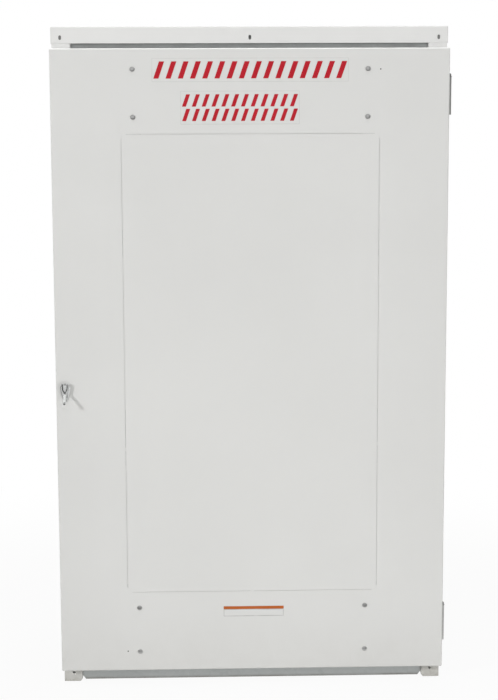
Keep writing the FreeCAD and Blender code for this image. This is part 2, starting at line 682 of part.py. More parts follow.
def door_bolts():
    length = DOOR_SHEET + STIFFENER_SHEET + NUT_HEIGHT + BOLT_END
    bolt = domed_pin(BOLT_HEAD_RADIUS, BOLT_HEAD_HEIGHT, BOLT_RADIUS, length, BOLT_RADIUS, 0)
    return Part.makeCompound([placed(bolt, point, -Y) for point in door_bolt_points()])


def door_nuts():
    nut = hex_nut(NUT_ACROSS_FLATS, NUT_HEIGHT, BOLT_RADIUS + THREAD_CLEARANCE)
    seat = Y * (DOOR_SHEET + STIFFENER_SHEET)
    return Part.makeCompound([placed(nut, point + seat, Y) for point in door_bolt_points()])


# Hinges
def knuckle_spans(bottom):
    pitch = (HINGE_LENGTH + KNUCKLE_GAP) / HINGE_KNUCKLES
    return [(bottom + k * pitch, bottom + (k + 1) * pitch - KNUCKLE_GAP) for k in range(HINGE_KNUCKLES)]


def screw_profile(clearance):
    radius = SCREW_RADIUS + clearance
    return [
        (0, 0),
        (SCREW_HEAD_RADIUS + clearance, 0),
        (radius, -SCREW_HEAD_HEIGHT),
        (radius, -SCREW_LENGTH),
        (0, -SCREW_LENGTH),
    ]


def hinge_leaf(bottom, width, low_y, high_y, first, screw_points, outward):
    plate_edge = HINGE_X - KNUCKLE_RADIUS - HINGE_CLEARANCE
    leaf = box(plate_edge - width, plate_edge, low_y, high_y, bottom, bottom + HINGE_LENGTH)
    for low, high in knuckle_spans(bottom)[first::2]:
        leaf = leaf.fuse(box(plate_edge, HINGE_X, low_y, high_y, low, high))
        leaf = leaf.fuse(Part.makeCylinder(KNUCKLE_RADIUS, high - low, Vector(HINGE_X, HINGE_Y, low)))
    bore = Vector(HINGE_X, HINGE_Y, bottom + HINGE_LENGTH / 2)
    leaf = drilled(leaf, [bore], Z, PIN_RADIUS + PIN_CLEARANCE, 2 * HINGE_LENGTH)
    sinks = [placed(turned(screw_profile(SCREW_CLEARANCE)), point, outward) for point in screw_points]
    return leaf.cut(Part.makeCompound(sinks))


def frame_leaf(bottom):
    return hinge_leaf(bottom, FRAME_LEAF_WIDTH, FRONT - LEAF_SHEET, FRONT, 0, frame_screw_points(bottom), -Y)


def door_leaf(bottom):
    faces = (DOOR_REAR, DOOR_REAR + LEAF_SHEET)
    return hinge_leaf(bottom, DOOR_LEAF_WIDTH, faces[0], faces[1], 1, door_screw_points(bottom), Y)


def hinge_pin(bottom):
    flange = PIN_FLANGE_HEIGHT
    profile = [(0, -HINGE_LENGTH), (PIN_RADIUS, -HINGE_LENGTH), (PIN_RADIUS, 0), (PIN_FLANGE_RADIUS, 0)]
    profile += [(PIN_FLANGE_RADIUS, flange), (PIN_BUTTON_RADIUS, flange)]
    profile += [(PIN_BUTTON_RADIUS, PIN_BUTTON_HEIGHT), (0, flange + PIN_BUTTON_HEIGHT)]
    return placed(turned(profile), Vector(HINGE_X, HINGE_Y, bottom + HINGE_LENGTH), Z)


def screws(points, outward):
    screw = turned(screw_profile(0))
    return [placed(screw, point, outward) for point in points]


def frame_hinge_screws():
    points = frame_screw_points(UPPER_HINGE) + frame_screw_points(LOWER_HINGE)
    return Part.makeCompound(screws(points, -Y))


def door_hinge_screws():
    points = door_screw_points(UPPER_HINGE) + door_screw_points(LOWER_HINGE)
    return Part.makeCompound(screws(points, Y))


# Latch: lever, spindle and cam turn together; the bush and its nut stay on the door
def latch_point(outwards):
    return Vector(LATCH_X, DOOR_FACE - outwards, LATCH_HEIGHT)


def cam_slot_tool():
    centre = Vector(LATCH_X, FRONT + SHEET, LATCH_HEIGHT)
    return slot_tool(centre, Z, Y, CAM_SLOT_LENGTH, CAM_SLOT_WIDTH, 4 * (SHEET + KEEPER_SHEET))


# Drop-shaped plate: two arcs joined by their common tangents, its front edge bevelled
def escutcheon():
    lean = math.asin((ESCUTCHEON_RADIUS - ESCUTCHEON_TAIL_RADIUS) / ESCUTCHEON_TAIL_DROP)
    head = latch_point(0)
    tail = head - Z * ESCUTCHEON_TAIL_DROP
    right = Vector(math.cos(lean), 0, -math.sin(lean))
    left = Vector(-math.cos(lean), 0, -math.sin(lean))
    upper = [head + right * ESCUTCHEON_RADIUS, head + left * ESCUTCHEON_RADIUS]
    lower = [tail + left * ESCUTCHEON_TAIL_RADIUS, tail + right * ESCUTCHEON_TAIL_RADIUS]
    edges = [
        Part.Arc(upper[0], head + Z * ESCUTCHEON_RADIUS, upper[1]).toShape(),
        Part.makeLine(upper[1], lower[0]),
        Part.Arc(lower[0], tail - Z * ESCUTCHEON_TAIL_RADIUS, lower[1]).toShape(),
        Part.makeLine(lower[1], upper[0]),
    ]
    plate = Part.Face(Part.Wire(edges)).extrude(-Y * ESCUTCHEON_HEIGHT)
    front = DOOR_FACE - ESCUTCHEON_HEIGHT
    rim = [e for e in plate.Edges if abs(e.CenterOfMass.y - front) < 1e-6]
    return plate.makeChamfer(ESCUTCHEON_CHAMFER, rim)


def latch_bush():
    bush = escutcheon().fuse(Part.makeCylinder(BUSH_RADIUS, BUSH_LENGTH, latch_point(0), Y))
    length = ESCUTCHEON_HEIGHT + BUSH_LENGTH
    bore = Part.makeCylinder(SPINDLE_RADIUS + SPINDLE_CLEARANCE, length, latch_point(ESCUTCHEON_HEIGHT), Y)
    return bush.cut(bore)


def latch_nut():
    nut = hex_nut(BUSH_NUT_ACROSS_FLATS, BUSH_NUT_HEIGHT, BUSH_RADIUS + THREAD_CLEARANCE)
    return placed(nut, latch_point(-DOOR_SHEET), Y)


def lever_section(drop, outwards, width, thickness):
    slope = Vector(0, -(LEVER_REACH - BOSS_FOOT), -(LEVER_DROP - LEVER_ROOT_DROP)).normalize()
    across = slope.cross(X) * (thickness / 2)
    centre = latch_point(outwards) - Z * drop
    side = X * (width / 2)
    corners = [centre + side + across, centre - side + across, centre - side - across, centre + side - across]
    return rounded_face(corners, [LEVER_EDGE_ROUND] * 4).OuterWire


def latch_lever():
    centre = latch_point(BOSS_FOOT + LEVER_BOSS_HEIGHT / 2)
    boss = slot_tool(centre, Z, Y, LEVER_BOSS_LENGTH, LEVER_BOSS_WIDTH, LEVER_BOSS_HEIGHT)
    front = DOOR_FACE - BOSS_FOOT - LEVER_BOSS_HEIGHT
    rim = [e for e in boss.Edges if abs(e.CenterOfMass.y - front) < 1e-6]
    boss = boss.makeFillet(LEVER_BOSS_ROUND, rim)
    root_out = BOSS_FOOT + LEVER_ROOT_THICKNESS
    tip_out = LEVER_REACH - LEVER_TIP_THICKNESS / 2
    root = lever_section(LEVER_ROOT_DROP, root_out, LEVER_ROOT_WIDTH, LEVER_ROOT_THICKNESS)
    tip = lever_section(LEVER_DROP, tip_out, LEVER_TIP_WIDTH, LEVER_TIP_THICKNESS)
    lever = boss.fuse(Part.makeLoft([root, tip], True, True))
    socket = SPINDLE_SOCKET + BOSS_FOOT
    bore = Part.makeCylinder(SPINDLE_RADIUS + SPINDLE_CLEARANCE, socket, latch_point(0), -Y)
    return lever.cut(bore)


def latch_spindle():
    front = latch_point(BOSS_FOOT + SPINDLE_SOCKET)
    shoulder = front.y - CAM_FRONT
    end = front.y - SPINDLE_TAIL
    profile = [(0, 0), (SPINDLE_RADIUS, 0), (SPINDLE_RADIUS, shoulder)]
    profile += [(SPINDLE_TAIL_RADIUS, shoulder), (SPINDLE_TAIL_RADIUS, end), (0, end)]
    return placed(turned(profile), front, -Y)


def latch_cam():
    centre = Vector(LATCH_X, CAM_FRONT + CAM_SHEET / 2, LATCH_HEIGHT)
    bar = slot_tool(centre, Z, Y, CAM_LENGTH, CAM_WIDTH, CAM_SHEET)
    return drilled(bar, [centre], Y, SPINDLE_TAIL_RADIUS + THREAD_CLEARANCE, 4 * CAM_SHEET)


def latch_cam_nut():
    nut = hex_nut(CAM_NUT_ACROSS_FLATS, CAM_NUT_HEIGHT, SPINDLE_TAIL_RADIUS + THREAD_CLEARANCE)
    return placed(nut, Vector(LATCH_X, CAM_FRONT + CAM_SHEET, LATCH_HEIGHT), Y)


def latch_keeper():
    half = (KEEPER_WIDTH / 2, KEEPER_HEIGHT / 2)
    low = LATCH_HEIGHT - half[1]
    plate = box(LATCH_X - half[0], LATCH_X + half[0], FRONT + SHEET, KEEPER_BACK, low, low + KEEPER_HEIGHT)
    return plate.cut(cam_slot_tool())


# Bumpers on the stiles, a hair short of the closed door
def door_bumpers():
    height = DOOR_GAP - BUMPER_GAP
    profile = [(0, 0), (BUMPER_RADIUS, 0), (BUMPER_RADIUS, height / 2)]
    profile += [(BUMPER_RADIUS / 2, height), (0, height)]
    bumper = turned(profile)
    reach = HALF_WIDTH - BUMPER_SIDE_INSET
    heights = (DOOR_BOTTOM + BUMPER_END_INSET, DOOR_TOP - BUMPER_END_INSET)
    points = [Vector(side * reach, FRONT, z) for side in (-1, 1) for z in heights]
    return Part.makeCompound([placed(bumper, point, -Y) for point in points])


# Vinyl on the door face: rows of plain slanted stripes on a film, and a blank label under a coloured band
def stripe_film(row, upper_drop, lower_drop):
    count, pitch, width, height, centre = row
    half = ((count - 1) * pitch + width + STRIPE_SLANT * height) / 2 + FILM_SIDE_MARGIN
    reach = height / 2 + FILM_END_MARGIN
    low = DOOR_TOP - lower_drop - reach
    return box(centre - half, centre + half, FILM_FACE, DOOR_FACE, low, DOOR_TOP - upper_drop + reach)


def stripe_row(row, drop):
    count, pitch, width, height, centre = row
    lean = STRIPE_SLANT * height / 2
    middle = DOOR_TOP - drop
    stripes = []
    for k in range(count):
        x = centre + (k - (count - 1) / 2) * pitch
        corners = [
            Vector(x - width / 2 - lean, FILM_FACE, middle - height / 2),
            Vector(x + width / 2 - lean, FILM_FACE, middle - height / 2),
            Vector(x + width / 2 + lean, FILM_FACE, middle + height / 2),
            Vector(x - width / 2 + lean, FILM_FACE, middle + height / 2),
        ]
        stripes.append(Part.Face(Part.makePolygon(corners + corners[:1])).extrude(-Y * VINYL))
    return stripes


def notice_stripes():
    rows = stripe_row(NOTICE_ROW, NOTICE_UPPER_DROP) + stripe_row(NOTICE_ROW, NOTICE_LOWER_DROP)
    return Part.makeCompound(rows)


def label_strip(low, high):
    left = LABEL_OFFSET - LABEL_WIDTH / 2
    return box(left, left + LABEL_WIDTH, DOOR_FACE - VINYL, DOOR_FACE, low, high)


# Rivet groups
def back_rivets():
    group = []
    for side in (-1, 1):
        group += rivets(back_rivet_points(side), Y, BACK_SHEET + SHEET)
    return Part.makeCompound(group + rivets(sill_rivet_points(), Y, BACK_SHEET + 2 * SHEET))


def cap_rivets():
    group = []
    for side in (-1, 1):
        group += rivets(cap_side_rivet_points(side), X * side, 2 * SHEET + CAP_CLEARANCE)
    return Part.makeCompound(group + rivets(cap_back_rivet_points(), Y, SHEET + CAP_CLEARANCE + BACK_SHEET))


def floor_rivets():
    group = []
    for side in (-1, 1):
        group += rivets(floor_rivet_points(side), X * side, 2 * SHEET)
    return Part.makeCompound(group)


def rail_rivets():
    group = []
    for side in (-1, 1):
        for top in SHELF_TOPS.values():
            group += rivets(rail_rivet_points(side, top), X * side, SHEET + RAIL_SHEET)
    return Part.makeCompound(group)


def all_parts():
    parts = {
        "left_side_panel": left_side_panel(),
        "right_side_panel": right_side_panel(),
        "back_panel": back_panel(),
        "roof_cap": roof_cap(),
        "header_rail": header_rail(),
        "floor_pan": floor_pan(),
        "back_rivets": back_rivets(),
        "cap_rivets": cap_rivets(),
        "floor_rivets": floor_rivets(),
        "rail_rivets": rail_rivets(),
        "door_bumpers": door_bumpers(),
        "latch_keeper": latch_keeper(),
        "frame_hinge_screws": frame_hinge_screws(),
        "door_skin": door_skin(),
        "door_stiffener_left": door_stiffener(-1),
        "door_stiffener_right": door_stiffener(1),
        "door_bolts": door_bolts(),
        "door_nuts": door_nuts(),
        "door_hinge_screws": door_hinge_screws(),
        "title_film": stripe_film(TITLE_ROW, TITLE_DROP, TITLE_DROP),
        "title_stripes": Part.makeCompound(stripe_row(TITLE_ROW, TITLE_DROP)),
        "notice_film": stripe_film(NOTICE_ROW, NOTICE_UPPER_DROP, NOTICE_LOWER_DROP),
        "notice_stripes": notice_stripes(),
        "door_label": label_strip(LABEL_BOTTOM, BAND_BOTTOM),
        "door_label_band": label_strip(BAND_BOTTOM, BAND_BOTTOM + LABEL_BAND),
        "latch_bush": latch_bush(),
        "latch_nut": latch_nut(),
        "latch_lever": latch_lever(),
        "latch_spindle": latch_spindle(),
        "latch_cam": latch_cam(),
        "latch_cam_nut": latch_cam_nut(),
    }
    for name, top in SHELF_TOPS.items():
        parts[name + "_shelf"] = shelf(top)
        parts[name + "_shelf_left_rail"] = shelf_rail(-1, top)
        parts[name + "_shelf_right_rail"] = shelf_rail(1, top)
    for name, bottom in (("upper", UPPER_HINGE), ("lower", LOWER_HINGE)):
        parts[name + "_hinge_frame_leaf"] = frame_leaf(bottom)
        parts[name + "_hinge_door_leaf"] = door_leaf(bottom)
        parts[name + "_hinge_pin"] = hinge_pin(bottom)
    return parts


os.makedirs("parts", exist_ok=True)
for name, shape in all_parts().items():
    finished = shape if len(shape.Solids) > 1 else one_solid(shape)
    finished.exportStep("parts/" + name + ".step")
    print(name, len(finished.Solids), finished.isValid(), round(finished.Volume))
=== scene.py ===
import json
import math

import bpy
import numpy as np
from mathutils import Matrix, Vector


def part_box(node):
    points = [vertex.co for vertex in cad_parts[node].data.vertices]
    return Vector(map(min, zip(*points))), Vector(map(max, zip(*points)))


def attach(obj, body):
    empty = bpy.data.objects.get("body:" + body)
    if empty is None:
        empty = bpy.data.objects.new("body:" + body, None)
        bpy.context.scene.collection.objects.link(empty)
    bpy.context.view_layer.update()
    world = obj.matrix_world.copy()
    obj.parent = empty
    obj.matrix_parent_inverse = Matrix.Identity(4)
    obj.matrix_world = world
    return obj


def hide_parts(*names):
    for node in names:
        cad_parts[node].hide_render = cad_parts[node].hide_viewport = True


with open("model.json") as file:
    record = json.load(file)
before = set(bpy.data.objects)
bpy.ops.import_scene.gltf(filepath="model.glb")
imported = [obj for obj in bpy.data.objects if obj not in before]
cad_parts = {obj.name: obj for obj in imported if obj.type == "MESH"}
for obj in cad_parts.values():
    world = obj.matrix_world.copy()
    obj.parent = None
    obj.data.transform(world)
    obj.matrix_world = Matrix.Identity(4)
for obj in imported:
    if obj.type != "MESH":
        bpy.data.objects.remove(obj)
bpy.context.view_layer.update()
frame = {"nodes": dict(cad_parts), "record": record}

# Looks of a sheet-steel gas bottle locker: finishes for every sheet and fitting, finer fasteners and lever,
# plain floor, soft light and the photo's camera. Metres, in the CAD frame: +Z up, the door faces -Y.
scene = bpy.context.scene
scene.view_settings.view_transform = "Standard"
mm = 0.001
quarterTurn = np.pi / 2
print("frame loaded,", len(frame["nodes"]), "nodes")


# Camera at the photo's viewpoint; the focal length is in pixels of the 498 by 700 image, angles in degrees
photoCamera = {
    "place": (-0.1168, -4.315, 1.455),
    "yaw": 1.596,
    "pitch": 7.932,
    "roll": -0.231,
    "focalPixels": 1539.0,
    "longSidePixels": 700.0,
    "sensor": 36.0,
}


def makeCamera(spec):
    yaw, pitch, roll = (math.radians(spec[k]) for k in ("yaw", "pitch", "roll"))
    ahead = Vector((math.sin(yaw) * math.cos(pitch), math.cos(yaw) * math.cos(pitch), -math.sin(pitch)))
    level = ahead.cross(Vector((0, 0, 1))).normalized()
    upright = level.cross(ahead)
    right = level * math.cos(roll) + upright * math.sin(roll)
    up = upright * math.cos(roll) - level * math.sin(roll)
    lens = bpy.data.cameras.new("photo_camera")
    lens.sensor_width = spec["sensor"]
    lens.lens = spec["focalPixels"] / spec["longSidePixels"] * spec["sensor"]
    camera = bpy.data.objects.new("photo_camera", lens)
    turned = Matrix((right, up, -ahead)).transposed().to_4x4()
    camera.matrix_world = Matrix.Translation(spec["place"]) @ turned
    scene.collection.objects.link(camera)
    scene.camera = camera


makeCamera(photoCamera)
print("camera placed")


# Node building: a value goes on the socket itself, a socket is linked
def feed(tree, socket, source):
    if isinstance(source, bpy.types.NodeSocket):
        tree.links.new(source, socket)
    else:
        socket.default_value = source


def addNode(tree, kind, inputs=None, **settings):
    node = tree.nodes.new("ShaderNode" + kind)
    for key, value in settings.items():
        setattr(node, key, value)
    for socket, source in (inputs or {}).items():
        feed(tree, node.inputs[socket], source)
    return node


def objectPlace(tree):
    return addNode(tree, "TexCoord").outputs["Object"]


def mathNode(tree, operation, *values):
    return addNode(tree, "Math", dict(enumerate(values)), operation=operation).outputs[0]


def noiseNode(tree, place, size, detail=2.0, rough=0.5):
    given = {"Vector": place, "Scale": size, "Detail": detail, "Roughness": rough}
    return addNode(tree, "TexNoise", given).outputs[0]


def ramp(tree, value, low, high, fromLow=0.0, fromHigh=1.0):
    spread = {"Value": value, "From Min": fromLow, "From Max": fromHigh, "To Min": low, "To Max": high}
    return addNode(tree, "MapRange", spread, interpolation_type="SMOOTHSTEP").outputs[0]


noiseRange = (0.3, 0.7)  # noise hardly leaves this range


def spreadNoise(tree, noise, low, high):
    return ramp(tree, noise, low, high, *noiseRange)


# The Mix node's colour sockets are inputs 6 and 7 and output 2
def mixColour(tree, factor, first, second):
    mix = addNode(tree, "Mix", data_type="RGBA")
    feed(tree, mix.inputs[0], factor)
    feed(tree, mix.inputs[6], first)
    feed(tree, mix.inputs[7], second)
    return mix.outputs[2]


def newGroup(name, inputs, outputs):
    group = bpy.data.node_groups.new(name, "ShaderNodeTree")
    for label, value in inputs.items():
        socket = group.interface.new_socket(label, in_out="INPUT", socket_type="NodeSocketFloat")
        socket.default_value = value
    for label in outputs:
        group.interface.new_socket(label, in_out="OUTPUT", socket_type="NodeSocketFloat")
    return group, group.nodes.new("NodeGroupInput"), group.nodes.new("NodeGroupOutput")


def useGroup(tree, group, **values):
    node = tree.nodes.new("ShaderNodeGroup")
    node.node_tree = group
    for label, value in values.items():
        feed(tree, node.inputs[label], value)
    return node


# Sprayed coat: Peel is the fine orange-peel height, Cloud a slow drift in tone, Gloss a patchy one in shine.
# A noise's size is its repeats in a metre
coatSpec = {
    "inputs": {"PeelSize": 700.0, "CloudSize": 2.4},
    "peel": {"detail": 3.0, "rough": 0.55},
    "cloud": {"detail": 4.0},
    "gloss": {"size": 38.0, "detail": 5.0, "rough": 0.65},
}


def coatGroup(spec):
    group, given, made = newGroup("sprayed_coat", spec["inputs"], ("Peel", "Cloud", "Gloss"))
    place = objectPlace(group)
    cloud = noiseNode(group, place, given.outputs["CloudSize"], **spec["cloud"])
    feed(group, made.inputs["Peel"], noiseNode(group, place, given.outputs["PeelSize"], **spec["peel"]))
    feed(group, made.inputs["Cloud"], spreadNoise(group, cloud, 0, 1))
    feed(group, made.inputs["Gloss"], noiseNode(group, place, **spec["gloss"]))
    return group


# Darkening near the floor, for settled dust and for painted shade: Mask fades out at Reach above the floor,
# sinks to Rest between FrontY and BackY, and is broken up by noise, from thin to full
dustAndShadeSpec = {
    "inputs": {"Reach": 0.25, "FrontY": 0.0, "BackY": 0.1, "Rest": 1.0},
    "noise": {"size": 14.0, "detail": 6.0, "rough": 0.7},
    "noiseFrom": 0.35,
    "noiseTo": 0.7,
    "thin": 0.5,
}


def dustAndShadeGroup(spec):
    group, given, made = newGroup("settled_dust_and_shade", spec["inputs"], ("Mask",))
    place = objectPlace(group)
    part = addNode(group, "SeparateXYZ", {0: place})
    fade = ramp(group, part.outputs["Z"], 1.0, 0.0, 0.0, given.outputs["Reach"])
    ends = (given.outputs[k] for k in ("Rest", "FrontY", "BackY"))
    sink = ramp(group, part.outputs["Y"], 1.0, *ends)
    noise = noiseNode(group, place, **spec["noise"])
    blotch = ramp(group, noise, spec["thin"], 1.0, spec["noiseFrom"], spec["noiseTo"])
    settled = mathNode(group, "MULTIPLY", fade, sink)
    feed(group, made.inputs["Mask"], mathNode(group, "MULTIPLY", settled, blotch))
    return group


# Hot-dip zinc: Flake is one tone for each crystal, Edge its border, bent by noise, and Drift a slow stain
crystalSpec = {
    "inputs": {"CrystalSize": 90.0},
    "bend": {"Scale": 60.0, "Detail": 2.0},
    "bendReach": 8 * mm,
    "borderFrom": 0.2,
    "borderTo": 0.8,
    "drift": {"size": 5.0, "detail": 4.0},
}


def zincGroup(spec):
    group, given, made = newGroup("zinc_crystals", spec["inputs"], ("Flake", "Edge", "Drift"))
    place = objectPlace(group)
    bend = addNode(group, "TexNoise", {"Vector": place, **spec["bend"]}).outputs["Color"]
    shift = addNode(group, "VectorMath", {0: bend, "Scale": spec["bendReach"]}, operation="SCALE").outputs[0]
    bent = addNode(group, "VectorMath", {0: place, 1: shift}, operation="ADD").outputs[0]
    cells = addNode(group, "TexVoronoi", {"Vector": bent, "Scale": given.outputs["CrystalSize"]})
    border = ramp(group, cells.outputs["Distance"], 0, 1, spec["borderFrom"], spec["borderTo"])
    flake = addNode(group, "SeparateColor", {0: cells.outputs["Color"]}).outputs[0]
    feed(group, made.inputs["Flake"], flake)
    feed(group, made.inputs["Edge"], border)
    feed(group, made.inputs["Drift"], noiseNode(group, place, **spec["drift"]))
    return group


# Lines left by rolling or brushing, long along Z, and the blotches of handling
brushSpec = {
    "inputs": {"Fine": 1.0},
    "stretch": (2200.0, 2200.0, 60.0),
    "lines": {"detail": 3.0, "rough": 0.6},
    "blotch": {"size": 120.0, "detail": 4.0, "rough": 0.6},
}


def brushGroup(spec):
    group, given, made = newGroup("rolled_lines", spec["inputs"], ("Lines", "Blotch"))
    place = objectPlace(group)
    stretched = addNode(group, "Mapping", {"Vector": place, "Scale": spec["stretch"]}).outputs[0]
    feed(group, made.inputs["Lines"], noiseNode(group, stretched, given.outputs["Fine"], **spec["lines"]))
    feed(group, made.inputs["Blotch"], noiseNode(group, place, **spec["blotch"]))
    return group


sprayedCoat = coatGroup(coatSpec)
settledDustAndShade = dustAndShadeGroup(dustAndShadeSpec)
zincCrystals = zincGroup(crystalSpec)
rolledLines = brushGroup(brushSpec)
print("shared effects made")


def newMaterial(name, **constants):
    material = bpy.data.materials.new(name)
    material.use_nodes = True
    tree = material.node_tree
    shader = tree.nodes["Principled BSDF"]
    for label, value in constants.items():
        shader.inputs[label].default_value = value
    return material, tree, shader


# The three inputs that every finish varies; bump is the relief's strength and depth its full height
def dress(tree, shader, colour, rough, height, spec):
    feed(tree, shader.inputs["Base Color"], colour)
    feed(tree, shader.inputs["Roughness"], rough)
    bump = addNode(tree, "Bump", {"Height": height, "Strength": spec["bump"], "Distance": spec["depth"]})
    feed(tree, shader.inputs["Normal"], bump.outputs[0])


# Base colour under settled dust on the door and body, and under painted shade on the feet and floor edge
def dustedAndShaded(tree, clean, dustAndShade):
    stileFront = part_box("left_side_panel")[0].y
    soil = useGroup(tree, settledDustAndShade, Reach=dustAndShade["reach"], Rest=dustAndShade["rest"],
                    FrontY=stileFront + dustAndShade["from"], BackY=stileFront + dustAndShade["to"])
    amount = mathNode(tree, "MULTIPLY", soil.outputs["Mask"], dustAndShade["amount"])
    return mixColour(tree, amount, clean, dustAndShade["colour"])


# Round spots of painted shade: full within the radius of a place, seen along Y, and faded over a rim
def shadeSpotted(tree, clean, shadeSpots):
    flat = addNode(tree, "VectorMath", {0: objectPlace(tree), 1: (1, 0, 1)}, operation="MULTIPLY").outputs[0]
    for x, z in shadeSpots["places"]:
        away = addNode(tree, "VectorMath", {0: flat, 1: (x, 0, z)}, operation="DISTANCE").outputs["Value"]
        mask = ramp(tree, away, 1.0, 0.0, shadeSpots["radius"], shadeSpots["radius"] + shadeSpots["rim"])
        clean = mixColour(tree, mask, clean, shadeSpots["colour"])
    return clean


# Painted highlight: a paler line along the door's top bend, where the bend catches the light from above
bendHighlight = {"down": 3.0 * mm, "back": 3.0 * mm, "fade": 1.5 * mm, "colour": (0.86, 0.86, 0.85, 1)}


def bendHighlighted(tree, clean, line):
    low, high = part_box("door_skin")
    part = addNode(tree, "SeparateXYZ", {0: objectPlace(tree)})
    edge = high.z - line["down"]
    rear = low.y + line["back"]
    above = ramp(tree, part.outputs["Z"], 0.0, 1.0, edge, edge + line["fade"])
    before = ramp(tree, part.outputs["Y"], 1.0, 0.0, rear, rear + line["fade"])
    return mixColour(tree, mathNode(tree, "MULTIPLY", above, before), clean, line["colour"])


# White powder coat of the body and the door
powderSpec = {"rough": (0.36, 0.48), "bump": 0.12, "depth": 0.25 * mm}


def powderCoat(name, pale, deep, dustAndShade, shadeSpots=None, line=None):
    material, tree, shader = newMaterial(name)
    coat = useGroup(tree, sprayedCoat)
    tone = dustedAndShaded(tree, mixColour(tree, coat.outputs["Cloud"], deep, pale), dustAndShade)
    if shadeSpots:
        tone = shadeSpotted(tree, tone, shadeSpots)
    if line:
        tone = bendHighlighted(tree, tone, line)
    rough = spreadNoise(tree, coat.outputs["Gloss"], *powderSpec["rough"])
    dress(tree, shader, tone, rough, coat.outputs["Peel"], powderSpec)
    return material


# Painted shade on the side panels behind the cap's outer slots, which makes the slots look dark like holes
slotShadeSpec = {"sideways": 484 * mm, "radius": 8 * mm, "rim": 1 * mm, "colour": (0.18, 0.18, 0.175, 1)}


def slotShade(spec):
    mount = next(m for m in frame["record"]["mounts"] if m["name"] == "sign_slots")
    height = mount["pos_m"][2]
    return {**spec, "places": ((-spec["sideways"], height), (spec["sideways"], height))}


# Painted shade of two pinholes in the door: dark discs, each beside a corner bolt and a little nearer the
# door's middle height
pinholeShadeSpec = {"beside": 26 * mm, "inward": 7.5 * mm, "radius": 1.6 * mm, "rim": 0.4 * mm,
               "colour": (0.03, 0.03, 0.03, 1)}


def doorPinholeShade(spec):
    low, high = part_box("door_bolts")
    upper = (high.x + spec["beside"], high.z - spec["inward"])
    lower = (low.x - spec["beside"], low.z + spec["inward"])
    return {**spec, "places": (upper, lower)}


coatDust = {"reach": 0.22, "amount": 0.16, "rest": 1.0, "from": 0.0, "to": 0.1,
            "colour": (0.43, 0.41, 0.37, 1)}
# Painted shade on the feet under the door: darkest at the front near the floor, less further back
footShade = {"reach": 0.16, "amount": 0.96, "rest": 0.3, "from": 0.012, "to": 0.09,
            "colour": (0.36, 0.345, 0.305, 1)}
bodyWhite = powderCoat("body_white", pale=(0.740, 0.740, 0.730, 1), deep=(0.715, 0.715, 0.705, 1),
                       dustAndShade=coatDust)
# Side panels: a paler copy of the white coat, painted light on the stiles, with painted shade on the feet
sideWhitePaintedLight = powderCoat("side_white_painted_light", pale=(0.800, 0.800, 0.790, 1), deep=(0.775, 0.775, 0.765, 1),
                       dustAndShade=footShade, shadeSpots=slotShade(slotShadeSpec))
doorWhite = powderCoat("door_white", pale=(0.700, 0.700, 0.688, 1), deep=(0.680, 0.680, 0.668, 1),
                       dustAndShade=coatDust, shadeSpots=doorPinholeShade(pinholeShadeSpec), line=bendHighlight)


# Galvanised sheet of the floor, header, shelves, rails and stiffeners, with a painted shade line at the
# floor
edgeShade = {"reach": 0.011, "amount": 0.85, "rest": 1.0, "from": 0.0, "to": 0.1,
            "colour": (0.12, 0.10, 0.075, 1)}
galvanisedSpec = {"dark": (0.34, 0.355, 0.35, 1), "light": (0.47, 0.485, 0.48, 1), "metallic": 0.85,
                  "flakeShare": 0.55, "driftShare": 0.45, "rough": (0.38, 0.56), "bump": 0.1,
                  "depth": 0.2 * mm}


def galvanisedSheet(spec):
    material, tree, shader = newMaterial("galvanised_sheet", Metallic=spec["metallic"])
    zinc = useGroup(tree, zincCrystals)
    drift = mathNode(tree, "MULTIPLY", zinc.outputs["Drift"], spec["driftShare"])
    tone = mathNode(tree, "MULTIPLY_ADD", zinc.outputs["Flake"], spec["flakeShare"], drift)
    colour = dustedAndShaded(tree, mixColour(tree, tone, spec["dark"], spec["light"]), edgeShade)
    rough = ramp(tree, zinc.outputs["Flake"], *spec["rough"])
    dress(tree, shader, colour, rough, zinc.outputs["Edge"], spec)
    return material


# Plain and plated steel of the hinges, bolts, nuts and screws, and the rivets' aluminium
metalSpec = {"lineShare": 0.5, "blotchShare": 0.5, "bump": 0.12, "depth": 0.1 * mm}
metalTones = {
    "hinge_steel": {"dark": (0.36, 0.365, 0.35, 1), "light": (0.50, 0.505, 0.49, 1), "rough": (0.34, 0.50)},
    # Paler copy of the hinge steel, painted light, worn by the lower hinge's leaves
    "painted_light_hinge_steel": {"dark": (0.55, 0.555, 0.54, 1), "light": (0.69, 0.695, 0.68, 1),
                           "rough": (0.34, 0.50)},
    "pin_steel": {"dark": (0.20, 0.20, 0.20, 1), "light": (0.30, 0.30, 0.30, 1), "rough": (0.30, 0.44)},
    "zinc_plate": {"dark": (0.40, 0.405, 0.41, 1), "light": (0.54, 0.545, 0.545, 1), "rough": (0.28, 0.42)},
    "bolt_zinc": {"dark": (0.41, 0.41, 0.405, 1), "light": (0.55, 0.55, 0.545, 1), "rough": (0.28, 0.40)},
    "rivet_aluminium": {"dark": (0.55, 0.55, 0.56, 1), "light": (0.68, 0.68, 0.685, 1),
                        "rough": (0.30, 0.45)},
}


def rolledMetal(name, tones):
    material, tree, shader = newMaterial(name, Metallic=1.0)
    lines = useGroup(tree, rolledLines)
    blotch = mathNode(tree, "MULTIPLY", lines.outputs["Blotch"], metalSpec["blotchShare"])
    tone = mathNode(tree, "MULTIPLY_ADD", lines.outputs["Lines"], metalSpec["lineShare"], blotch)
    colour = mixColour(tree, spreadNoise(tree, tone, 0, 1), tones["dark"], tones["light"])
    rough = spreadNoise(tree, lines.outputs["Blotch"], *tones["rough"])
    dress(tree, shader, colour, rough, lines.outputs["Lines"], metalSpec)
    return material


